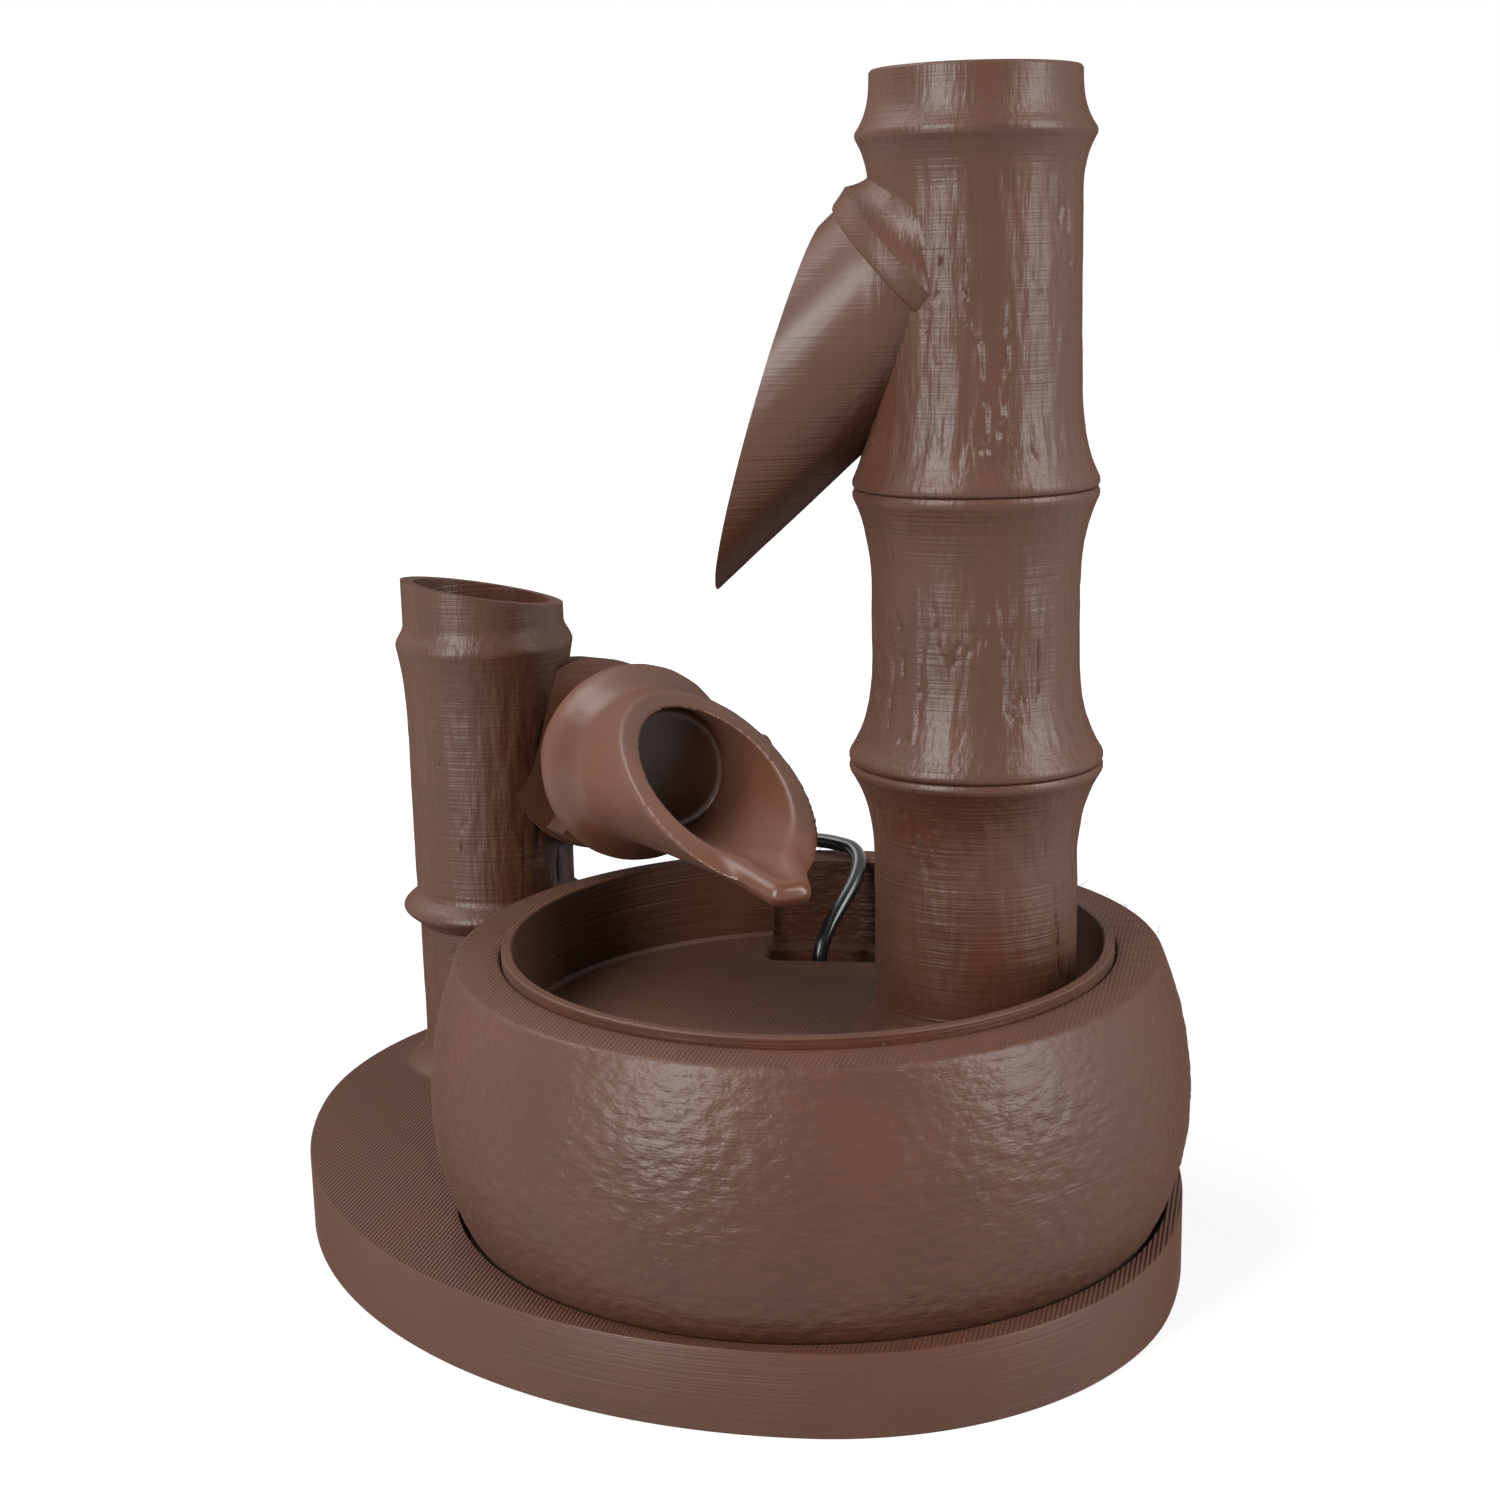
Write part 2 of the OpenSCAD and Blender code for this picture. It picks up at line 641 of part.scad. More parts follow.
// Beak that is pulled out of the mouth's lowest edge, its root just under the slanted mouth
module pouring_lip(lip_s) {
  root_h = lip_back * tan(mouth_cut) - mouth_r - lip_ball_r / cos(mouth_cut);
  hull() {
    for (y = [-1, 1]) {
      translate([lip_s - lip_back, y * lip_spread, root_h])
        sphere(r = lip_ball_r, $fn = 24);
      translate([lip_s + lip_reach - lip_ball_r, y * (lip_w / 2 - lip_ball_r),
        lip_ball_r - mouth_r - lip_fall]) sphere(r = lip_ball_r, $fn = 24);
    }
    translate([lip_s - lip_back, 0, lip_ball_r - mouth_r]) sphere(r = lip_ball_r, $fn = 24);
  }
}
// Channel that runs from the cup out over the lip
module lip_groove(lip_s) {
  translate([lip_s - 2 * lip_back, 0, lip_groove_r - cup_r]) rotate([0, 90 + lip_groove_tilt, 0])
    cylinder(r = lip_groove_r, h = 2 * (lip_back + lip_reach));
}

module counterweight() {
  color("silver") tipper_frame() translate([-slug_at - slug_len / 2, 0, 0]) rotate([0, 90, 0])
    cylinder(r = slug_r, h = slug_len);
}

module tail_plug() {
  color(BROWN) tipper_frame() translate([-tail_at, 0, 0]) rotate([0, 90, 0])
    cylinder(r = slug_r + chamber_gap - seat_gap, h = plug_t);
}

module bowl() {
  inner_r = bowl_mouth_r - bowl_ledge_w;
  color(BROWN) at_bowl(bowl_z) rotate_extrude() polygon(concat(
    [[0, 0], [bowl_foot_r, 0]],
    [for (i = [1 : 3 * steps]) let (z = bowl_h * i / (3 * steps)) [bowl_r(z), z]],
    [[bowl_mouth_r, bowl_h], [bowl_mouth_r, tray_z - bowl_z], [inner_r, tray_z - bowl_z],
      [inner_r, bowl_floor_t], [0, bowl_floor_t]]));
}

// Notch for the cable, open to the bowl's wall
module notch(h) {
  far = bowl_mouth_r + notch_w;
  rotate([0, 0, notch_dir]) {
    translate([notch_reach + notch_corner_r, -notch_w / 2, 0])
      cube([far - notch_reach, notch_w, h]);
    translate([notch_reach, notch_corner_r - notch_w / 2, 0])
      cube([far - notch_reach, notch_w - 2 * notch_corner_r, h]);
    for (y = [notch_corner_r - notch_w / 2, notch_w / 2 - notch_corner_r])
      translate([notch_reach + notch_corner_r, y, 0]) cylinder(r = notch_corner_r, h = h);
  }
}

module tray() {
  out_r = bowl_mouth_r - tray_gap;
  tray_h = tray_floor_t + tray_drop + tray_rise;
  color(BROWN) difference() {
    union() {
      at_bowl(tray_z) difference() {
        cylinder(r = out_r, h = tray_h);
        translate([0, 0, tray_floor_t]) cylinder(r = out_r - tray_wall, h = tray_h);
      }
      intersection() {
        at_stem(tray_floor_z) {
          rotate_extrude() polygon(stem_outline(riser_len, stem_waist_r, joint_low_r));
          foot_fillet(stem_waist_r, stem_foot_r, foot_fillet_h);
        }
        at_bowl(tray_floor_z) cylinder(r = out_r, h = riser_len);
      }
      at_stem(low_joint_z - over) cylinder(r = spigot_r, h = spigot_h + over);
    }
    at_stem(tray_z - over) cylinder(r = stem_bore_r, h = stem_top_z);
    at_bowl(tray_z - over) notch(tray_h + 2 * over);
  }
}

// Socket in the lower end of a segment
module socket(z) {
  at_stem(z - over)
    cylinder(r = spigot_r + spigot_gap, h = spigot_h + socket_depth_gap + over);
}

module bamboo_middle() {
  color(BROWN) difference() {
    union() {
      at_stem(low_joint_z) rotate_extrude()
        polygon(stem_outline(middle_len, joint_low_r, joint_high_r));
      at_stem(high_joint_z - over) cylinder(r = spigot_r, h = spigot_h + over);
    }
    at_stem(low_joint_z - over) cylinder(r = stem_bore_r, h = middle_len + spigot_h + 3 * over);
    socket(low_joint_z);
  }
}

// Frame of the spout: x down its axis, y to its side, z up from its axis
module spout_frame() {
  at_stem(spout_z) rotate([0, spout_slope, spout_dir]) children();
}

module bamboo_top() {
  partition_z = high_joint_z + partition_rise + spigot_h;
  cut_run = 2 * spout_r / tan(spout_cut);
  color(BROWN) difference() {
    union() {
      at_stem(high_joint_z) rotate_extrude() polygon(top_outline());
      difference() {
        spout_frame() rotate([0, 90, 0]) {
          cylinder(r = spout_r, h = spout_len + over);
          translate([0, 0, spout_ring_at - spout_ring_w / 2]) rotate_extrude() polygon([[0, 0],
            [spout_r, 0], [spout_ring_r, spout_ring_w / 2],
            [spout_r + spout_ring_step, spout_ring_w - spout_ring_step / 2],
            [spout_r, spout_ring_w], [0, spout_ring_w]]);
        }
        spout_frame() rotate([90, 0, 0]) translate([0, 0, -2 * spout_r])
          linear_extrude(4 * spout_r) polygon([[spout_len, -spout_r],
            [spout_len - cut_run, spout_r], [spout_len - 2 * cut_run, 3 * spout_r],
            [2 * spout_len, 3 * spout_r], [2 * spout_len, -2 * spout_r],
            [spout_len + cut_run / 2, -2 * spout_r]]);
      }
    }
    // Socket, hose bore, spout chamber and open top
    socket(high_joint_z);
    at_stem(high_joint_z - over) cylinder(r = stem_bore_r, h = partition_z - high_joint_z + over);
    at_stem(partition_z - over) cylinder(r = hose_r + peg_gap, h = partition_t + 2 * over);
    at_stem(partition_z + partition_t)
      cylinder(r = chamber_r, h = stem_top_z - ring_drop - partition_z - partition_t);
    at_stem(stem_top_z - cup_top_depth) cylinder(r = cup_top_r, h = cup_top_depth + over);
    spout_frame() translate([spout_bore_start, 0, 0]) rotate([0, 90, 0])
      cylinder(r = spout_r - spout_wall, h = spout_len);
  }
}

module riser_hose() {
  hose_z = pump_z + foot_h + pump_h + 1.5 * nozzle_wall;
  partition_z = high_joint_z + partition_rise + spigot_h;
  color("gainsboro", 0.6) at_stem(hose_z) difference() {
    cylinder(r = hose_r, h = partition_z + partition_t - hose_z);
    translate([0, 0, -over]) cylinder(r = nozzle_r + hose_fit, h = partition_z);
  }
}

module pump_housing() {
  color(DARK) at_pump() {
    difference() {
      translate([0, motor_y0, foot_h + pump_h / 2]) rotate([-90, 0, 0])
        translate([0, 0, motor_len / 2 - cap_t / 2]) rounded_slab(pump_w, pump_h, motor_len - cap_t);
      translate([0, motor_y0 + shell_t, foot_h + pump_h / 2]) rotate([-90, 0, 0])
        translate([0, 0, motor_len / 2])
          rounded_slab(pump_w - 2 * shell_t, pump_h - 2 * shell_t, motor_len);
      along_pump(motor_y0 - over) cylinder(r = well_r, h = motor_len / 2);
    }
    along_pump(motor_y0) difference() {
      cylinder(r = well_r + well_wall, h = well_len + well_wall);
      translate([0, 0, -over]) cylinder(r = well_r, h = well_len + over);
    }
  }
}
// Slab with rounded edges, centred, its height along z
module rounded_slab(w, l, h) { translate([0, 0, -h / 2]) rounded_block(w, l, h, corner_r); }

module pump_back_cap() {
  color(DARK) at_pump() difference() {
    translate([0, motor_y1 - cap_t / 2, foot_h + pump_h / 2]) rotate([-90, 0, 0])
      rounded_slab(pump_w, pump_h, cap_t);
    along_pump(motor_y1 - cap_t - over) cylinder(r = cable_d / 2, h = cap_t + 2 * over);
  }
}

module pump_volute() {
  top_h = foot_h + pump_h;
  color(DARK) at_pump() difference() {
    union() {
      translate([0, 0, foot_h + pump_h / 2]) rotate([-90, 0, 0])
        rounded_slab(pump_w - 2 * shell_t, pump_h, 2 * volute_half);
      translate([0, 0, top_h - over]) cylinder(r = nozzle_r, h = nozzle_h + over);
    }
    along_pump(-chamber_half) cylinder(r = chamber_pump_r, h = chamber_half + volute_half + over);
    along_pump(-volute_half - over) cylinder(r = chamber_pump_r / 2, h = volute_half);
    translate([0, 0, motor_axis_h]) cylinder(r = nozzle_r - nozzle_wall, h = pump_h);
  }
}

module intake_grille() {
  y0 = -volute_half - intake_len;
  color(DARK) at_pump() difference() {
    translate([0, y0 + intake_len / 2, foot_h + pump_h / 2]) rotate([-90, 0, 0])
      rounded_slab(pump_w - 2 * shell_t, pump_h, intake_len);
    translate([0, y0 + shell_t + intake_len / 2, foot_h + pump_h / 2]) rotate([-90, 0, 0])
      rounded_slab(pump_w - 4 * shell_t, pump_h - 2 * shell_t, intake_len);
    for (i = [0 : slot_count - 1])
      translate([(i - (slot_count - 1) / 2) * slot_pitch, y0, motor_axis_h])
        cube([slot_w, 2 * shell_t + over, pump_h - 4 * corner_r], center = true);
  }
}

module stator_core() {
  leg_x = well_r + well_wall + core_gap;
  back_y = motor_y0 + well_len + well_wall + core_gap;
  color("slategray") at_pump() translate([0, 0, motor_axis_h]) {
    for (x = [-leg_x - core_leg, leg_x])
      translate([x, motor_y0 + shell_t + core_gap, -core_h / 2])
        cube([core_leg, back_y + core_leg - motor_y0 - shell_t - core_gap, core_h]);
    translate([-leg_x - core_leg, back_y + winding_t / 2, -core_leg])
      cube([2 * (leg_x + core_leg), core_leg - winding_t / 2, 2 * core_leg]);
  }
}

module stator_winding() {
  back_y = motor_y0 + well_len + well_wall + core_gap;
  half_w = well_r - core_gap;
  color("peru") at_pump() translate([0, back_y + core_leg / 2 + winding_t / 4, motor_axis_h])
    difference() {
      cube([2 * half_w, core_leg + winding_t / 2, 2 * (core_leg + winding_t)], center = true);
      cube([2 * half_w + 2 * over, core_leg - winding_t / 2 + 2 * seat_gap,
        2 * (core_leg + seat_gap)], center = true);
    }
}

module pump_shaft() {
  color("white") at_pump() along_pump(-volute_half)
    cylinder(r = shaft_r, h = volute_half + motor_y0 + well_len);
}

module bush() {
  difference() {
    cylinder(r = bush_r, h = bush_len);
    translate([0, 0, -over]) cylinder(r = shaft_r, h = bush_len + 2 * over);
  }
}
module shaft_bushes() {
  color("black") at_pump() {
    along_pump(motor_y0 + well_len - bush_len) bush();
    along_pump(-volute_half) bush();
  }
}

module rotor_magnet() {
  color("dimgray") at_pump() along_pump(motor_y0 + rotor_gap) difference() {
    cylinder(r = magnet_r, h = well_len - bush_len - 4 * rotor_gap);
    translate([0, 0, -over]) cylinder(r = shaft_r + rotor_gap, h = well_len + over);
  }
}

module impeller() {
  hub_r = shaft_r + 2 * vane_t;
  color("white") at_pump() along_pump(motor_y0 - impeller_disc_t - vane_h) difference() {
    union() {
      translate([0, 0, vane_h]) cylinder(r = impeller_r, h = impeller_disc_t);
      cylinder(r = hub_r, h = vane_h + impeller_disc_t / 2);
      for (i = [0 : vane_count / 2 - 1]) rotate([0, 0, i * 360 / vane_count])
        translate([vane_t - impeller_r, -vane_t / 2, vane_t / 2])
          cube([2 * (impeller_r - vane_t), vane_t, vane_h]);
    }
    translate([0, 0, -over])
      cylinder(r = shaft_r + rotor_gap, h = vane_h + impeller_disc_t + 2 * over);
  }
}

module pump_feet() {
  y_places = [motor_y0 + pump_foot_in, motor_y1 - pump_foot_in];
  color("black") at_pump()
    for (x = [pump_foot_in - pump_w / 2, pump_w / 2 - pump_foot_in], y = y_places)
      translate([x, y, 0]) cylinder(r1 = pump_foot_r, r2 = pump_foot_r / 2, h = foot_h);
}

module cable_gland() {
  color("black") at_pump() along_pump(motor_y1)
    cylinder(r1 = gland_r, r2 = gland_tip_r, h = gland_len);
}

// Tube swept along points: a ring of sides at each, carried along without twist
function unit(v) = v / norm(v);
function heading(p, i) = i == 0 ? unit(p[1] - p[0])
  : i == len(p) - 1 ? unit(p[i] - p[i - 1]) : unit(unit(p[i + 1] - p[i]) + unit(p[i] - p[i - 1]));
function carry(n, t) = unit(n - (n * t) * t);
function normals(p, start) = [for (i = 0, n = carry(start, heading(p, 0)); i < len(p);
  i = i + 1, n = i < len(p) ? carry(n, heading(p, i)) : n) n];
function tube_points(p, r, sides, start) = let (ns = normals(p, start))
  [for (i = [0 : len(p) - 1]) let (t = heading(p, i), b = cross(t, ns[i]))
    for (k = [0 : sides - 1]) let (a = 360 * (k + 0.5) / sides)
      p[i] + r * (cos(a) * ns[i] + sin(a) * b)];
function tube_faces(n, sides) = concat(
  [for (i = [0 : n - 2], k = [0 : sides - 1]) let (k2 = (k + 1) % sides)
    [i * sides + k, (i + 1) * sides + k, i * sides + k2]],
  [for (i = [0 : n - 2], k = [0 : sides - 1]) let (k2 = (k + 1) % sides)
    [i * sides + k2, (i + 1) * sides + k, (i + 1) * sides + k2]],
  [for (k = [1 : sides - 2]) [0, k, k + 1]],
  [for (k = [1 : sides - 2]) let (m = (n - 1) * sides) [m, m + k + 1, m + k]]);
module tube(p, r, sides, start) {
  polyhedron(points = tube_points(p, r, sides, start), faces = tube_faces(len(p), sides),
    convexity = 8);
}

// Coil: spirals in on the floor, climbs a layer in half a turn, and spirals out on top
function coil_r(t) = coil_out_r - coil_pitch * (t < coil_turns ? t
  : t < coil_turns + 0.5 ? coil_turns : coil_total - t);
function coil_rise(t) = coil_layer * min(1, max(0, (t - coil_turns) / 0.5));
function coil_path() = [for (i = [0 : coil_total * coil_rings]) let (t = i / coil_rings,
  a = coil_start_angle - 360 * t)
    [coil_centre[0] + coil_r(t) * cos(a), coil_centre[1] + coil_r(t) * sin(a),
      coil_floor + coil_rise(t)]];
// Least distance between places of the coil that are more than half a turn apart
function coil_self_gap() = let (p = coil_points, apart = coil_rings / 2)
  min([for (i = [0 : len(p) - 1], j = [i + apart : len(p) - 1]) norm(p[i] - p[j])]) - cable_d;
echo(coil_self_gap = coil_self_gap());

module cable_run() { color("black") tube(run_points, cable_d / 2, run_sides, [0, 0, 1]); }
module cable_coil() { color("black") tube(coil_points, cable_d / 2, coil_sides, [0, 0, 1]); }
module cable_tail() { color("black") tube(tail_points, cable_d / 2, run_sides, [0, 0, 1]); }

module plug_body() {
  color("black") translate(plug_at) rotate([90, 0, 0]) {
    difference() {
      union() {
        cylinder(r1 = boot_tip_r, r2 = boot_r, h = boot_len + over);
        translate([0, 0, boot_len]) rounded_block(grip_w, grip_h, grip_len, corner_r);
      }
      translate([0, 0, boot_len + grip_len - over])
        translate([-shell_w / 2, -shell_h / 2, 0]) cube([shell_w, shell_h, 2 * over]);
    }
  }
}

module plug_shell() {
  color("silver") translate(plug_at) rotate([90, 0, 0])
    translate([0, 0, boot_len + grip_len - over]) {
      difference() {
        translate([-shell_w / 2, -shell_h / 2, 0]) cube([shell_w, shell_h, shell_len + over]);
        translate([shell_wall - shell_w / 2, shell_wall - shell_h / 2, over])
          cube([shell_w - 2 * shell_wall, shell_h - 2 * shell_wall, shell_len + over]);
      }
      translate([shell_wall - shell_w / 2, shell_wall - shell_h / 2, over / 2])
        cube([shell_w - 2 * shell_wall, tongue_t, shell_len - over]);
    }
}

base_plate();
post_sleeve();
tipper_bracket();
pivot_pin();
thrust_washer();
tipper();
counterweight();
tail_plug();
bowl();
tray();
bamboo_middle();
bamboo_top();
riser_hose();
pump_housing();
pump_back_cap();
pump_volute();
intake_grille();
stator_core();
stator_winding();
pump_shaft();
shaft_bushes();
rotor_magnet();
impeller();
pump_feet();
cable_gland();
cable_run();
cable_coil();
cable_tail();
plug_body();
plug_shell();
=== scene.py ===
"""Looks of the desktop shishi odoshi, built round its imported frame.

Sizes are written in millimetres and turned into metres where a mesh is made.
The row frame has its origin on the ground under the middle of the base plate,
+Y runs from the bowl to the short post and +Z is up.
"""
import json
import logging
import math
from dataclasses import dataclass, replace
from enum import Enum
from functools import cache
from typing import Callable, Iterable, Sequence

import bmesh
import bpy
import numpy as np
from mathutils import Matrix, Vector

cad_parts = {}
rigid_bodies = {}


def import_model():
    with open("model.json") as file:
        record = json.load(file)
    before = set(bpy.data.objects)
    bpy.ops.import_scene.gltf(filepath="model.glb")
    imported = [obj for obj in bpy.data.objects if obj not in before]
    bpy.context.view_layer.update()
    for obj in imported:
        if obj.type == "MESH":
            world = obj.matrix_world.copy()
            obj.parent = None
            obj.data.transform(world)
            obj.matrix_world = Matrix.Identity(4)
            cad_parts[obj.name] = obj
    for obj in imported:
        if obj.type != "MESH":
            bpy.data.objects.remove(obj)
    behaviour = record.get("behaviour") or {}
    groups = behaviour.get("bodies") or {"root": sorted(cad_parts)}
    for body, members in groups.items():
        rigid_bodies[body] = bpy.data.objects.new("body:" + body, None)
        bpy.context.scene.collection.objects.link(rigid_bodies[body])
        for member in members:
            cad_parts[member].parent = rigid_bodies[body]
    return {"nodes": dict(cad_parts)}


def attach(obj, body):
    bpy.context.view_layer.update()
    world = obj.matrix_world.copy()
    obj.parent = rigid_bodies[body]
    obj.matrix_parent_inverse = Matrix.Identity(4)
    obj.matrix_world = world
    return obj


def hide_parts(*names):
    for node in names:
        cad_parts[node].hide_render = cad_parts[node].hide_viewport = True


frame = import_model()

LOG = logging.getLogger("shishi_odoshi")
MM = 0.001
QUARTER = math.pi / 2

Row = tuple[float, ...]                   # radius, height and, where it isn't 0, share of relief
Point = tuple[float, float, float]
Color = tuple[float, float, float]


class Body(str, Enum):
    """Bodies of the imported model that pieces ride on."""

    BASE = "base"
    SLEEVE = "sleeve"
    TIPPER = "tipper"
    MIDDLE = "middle"
    TOP = "top"


class Cut(str, Enum):
    """What a tool does to a solid."""

    JOIN = "UNION"
    TAKE = "DIFFERENCE"
    KEEP = "INTERSECT"


# Node helpers
class Graph:
    """A node tree that is filled step by step."""

    def __init__(self, tree: bpy.types.NodeTree) -> None:
        """Keep the tree.

        Args:
            tree: The shader or geometry tree to fill.
        """
        self.tree = tree

    def join(self, node: bpy.types.Node, inputs: dict) -> bpy.types.Node:
        """Link or fill inputs of a node.

        Args:
            node: The node.
            inputs: Socket name or index to a value or to an output socket.

        Returns:
            The same node.
        """
        for key, value in inputs.items():
            if isinstance(value, bpy.types.NodeSocket):
                self.tree.links.new(value, node.inputs[key])
            else:
                node.inputs[key].default_value = value
        return node

    def add(self, kind: str, inputs: dict | None = None, **settings: object) -> bpy.types.Node:
        """Add a node, set it up and link or fill its inputs.

        Args:
            kind: The node's type name.
            inputs: Socket name or index to a value or to an output socket.
            settings: Attributes of the node.

        Returns:
            The new node.
        """
        node = self.tree.nodes.new(kind)
        for key, value in settings.items():
            setattr(node, key, value)
        return self.join(node, inputs or {})

    def math(self, operation: str, *values: object, clamp: bool = False) -> bpy.types.NodeSocket:
        """Add a Math node and return its output."""
        return self.add("ShaderNodeMath", dict(enumerate(values)), operation=operation,
                        use_clamp=clamp).outputs[0]

    def times(self, a: object, b: object) -> bpy.types.NodeSocket:
        """Multiply two numbers."""
        return self.math("MULTIPLY", a, b)

    def plus(self, a: object, b: object) -> bpy.types.NodeSocket:
        """Add two numbers."""
        return self.math("ADD", a, b)

    def minus(self, a: object, b: object) -> bpy.types.NodeSocket:
        """Take the second number from the first."""
        return self.math("SUBTRACT", a, b)

    def vector(self, operation: str, *values: object) -> bpy.types.NodeSocket:
        """Add a Vector Math node and return its vector output."""
        return self.add("ShaderNodeVectorMath", dict(enumerate(values)), operation=operation).outputs[0]

    def length(self, value: object) -> bpy.types.NodeSocket:
        """Add a Vector Math node and return the length of a vector."""
        return self.add("ShaderNodeVectorMath", {0: value}, operation="LENGTH").outputs["Value"]

    def smooth(self, value: object, low: float, high: float) -> bpy.types.NodeSocket:
        """Step smoothly from 0 at low to 1 at high."""
        return self.add("ShaderNodeMapRange", {0: value, 1: low, 2: high},
                        interpolation_type="SMOOTHSTEP").outputs[0]

    def noise(self, spot: object, scale: float, detail: float = 3.0) -> bpy.types.NodeSocket:
        """Add a noise texture and return its factor."""
        return self.add("ShaderNodeTexNoise", {"Vector": spot, "Scale": scale, "Detail": detail,
                                               "Roughness": 0.5}).outputs[0]

    def grain(self, spot: object, scales: Point, detail: float = 3.0) -> bpy.types.NodeSocket:
        """Add a noise texture with a scale of its own along each axis."""
        return self.noise(self.vector("MULTIPLY", spot, scales), 1.0, detail)

    def blend(self, share: object, low: Color, high: Color) -> bpy.types.NodeSocket:
        """Mix two colours by a share."""
        return self.add("ShaderNodeMix", {0: share, 6: (*low, 1.0), 7: (*high, 1.0)},
                        data_type="RGBA").outputs[2]


class Surface(Graph):
    """Node tree of a material, round its Principled shader."""

    def __init__(self, name: str) -> None:
        """Make the material.

        Args:
            name: Name of the material.
        """
        self.material = bpy.data.materials.new(name)
        self.material.use_nodes = True
        super().__init__(self.material.node_tree)
        self.shader = self.tree.nodes["Principled BSDF"]
        self.spot = self.add("ShaderNodeTexCoord").outputs["Object"]

    def mottle(self, share: object, color: Color, dark: float, light: float) -> None:
        """Let the colour run between a darker and a lighter shade of it.

        Args:
            share: Socket that goes from 0 in the dark to 1 in the light.
            color: The colour between them.
            dark: Factor of the darker shade.
            light: Factor of the lighter shade.
        """
        low, high = (tuple(min(1.0, c * k) for c in color) for k in (dark, light))
        self.join(self.shader, {"Base Color": self.blend(share, low, high)})

    def emboss(self, height: object, strength: float, distance: float) -> None:
        """Bump the surface by a height."""
        bumped = self.add("ShaderNodeBump", {"Height": height, "Strength": strength, "Distance": distance})
        self.join(self.shader, {"Normal": bumped.outputs[0]})


# Finishes
@dataclass(frozen=True)
class PrintedFinish:
    """Silky brown filament, laid in layers and, on flat tops, in diagonal lines.

    Layers, hatch, grain and pitted are shares of the depth, and scales are per metre.
    Where there is a bark_axis, the grain reaches only bark_reach metres round it.
    """

    name: str
    color: Color = (0.081, 0.029, 0.0142)
    roughness: float = 0.31
    layers: float = 0.35
    hatch: float = 0.6
    grain: float = 0.0
    pitted: float = 0.0
    gloss: float = 0.42
    bark_axis: tuple[float, float] | None = None
    bark_reach: float = 0.025
    bark_fade: tuple[float, float] = (0.0015, -0.0005)
    shades: tuple[float, float] = (0.91, 1.07)
    edge_matt: float = 0.9
    uneven: float = 0.1
    depth: float = 0.00022
    flat_from: tuple[float, float] = (0.93, 0.99)
    cloud_scale: float = 70.0
    speck_scale: float = 900.0
    cloud_share: float = 0.75
    layer_scales: Point = (24.0, 24.0, 2100.0)
    band_scales: Point = (9.0, 9.0, 520.0)
    band_share: float = 0.8
    hatch_scale: float = 374.0
    hatch_turn: float = 45.0
    bark_scales: Point = (900.0, 900.0, 130.0)
    pit_scales: Point = (330.0, 330.0, 620.0)

    def print_lines(self, g: Surface) -> bpy.types.NodeSocket:
        """Give the height of layers on steep walls and of hatch on flat tops.

        Args:
            g: Node tree of the material.

        Returns:
            The height, as a share of the depth.
        """
        normal = g.add("ShaderNodeNewGeometry").outputs["Normal"]
        up = g.add("ShaderNodeSeparateXYZ", {0: normal}).outputs[2]
        flat = g.smooth(g.math("ABSOLUTE", up), *self.flat_from)
        layer = g.plus(g.grain(g.spot, self.layer_scales, 2.0),
                       g.times(g.grain(g.spot, self.band_scales), self.band_share))
        askew = g.add("ShaderNodeMapping", {0: g.spot, 2: (0.0, 0.0, math.radians(self.hatch_turn))})
        lines = g.add("ShaderNodeTexWave", {"Vector": askew.outputs[0], "Scale": self.hatch_scale,
                                            "Distortion": 0.4, "Detail": 2.0, "Detail Scale": 2.0})
        return g.plus(g.times(g.times(layer, g.minus(1.0, flat)), self.layers),
                      g.times(g.times(lines.outputs[1], flat), self.hatch))

    def bark(self, g: Surface) -> bpy.types.NodeSocket:
        """Give the height of the bark's grain, only near the axis where there is one.

        Args:
            g: Node tree of the material.

        Returns:
            The height, as a share of the depth.
        """
        height = g.times(g.grain(g.spot, self.bark_scales, 4.0), self.grain)
        if not self.bark_axis:
            return height
        beside = g.vector("SUBTRACT", g.spot, (*self.bark_axis, 0.0))
        away = g.length(g.vector("MULTIPLY", beside, (1, 1, 0)))
        return g.times(height, g.smooth(away, *(self.bark_reach + d for d in self.bark_fade)))

    def make(self) -> bpy.types.Material:
        """Build the material.

        Returns:
            The finished material.
        """
        g = Surface(self.name)
        cloud = g.noise(g.spot, self.cloud_scale, 4.0)
        speck = g.noise(g.spot, self.speck_scale, 2.0)
        tone = g.plus(g.times(cloud, self.cloud_share), g.times(speck, 1.0 - self.cloud_share))
        g.mottle(g.smooth(tone, 0.34, 0.66), self.color, *self.shades)
        height = self.print_lines(g)
        if self.grain:
            height = g.plus(height, self.bark(g))
        if self.pitted:
            height = g.plus(height, g.times(g.grain(g.spot, self.pit_scales), self.pitted))
        g.emboss(height, 1.0, self.depth)
        facing = g.add("ShaderNodeLayerWeight", {0: 0.5}).outputs["Facing"]
        matt = g.times(g.times(facing, facing), self.edge_matt)
        rough = g.plus(g.plus(self.roughness - self.uneven / 2, matt), g.times(cloud, self.uneven))
        g.join(g.shader, {"Roughness": rough, "Specular IOR Level": self.gloss})
        return g.material


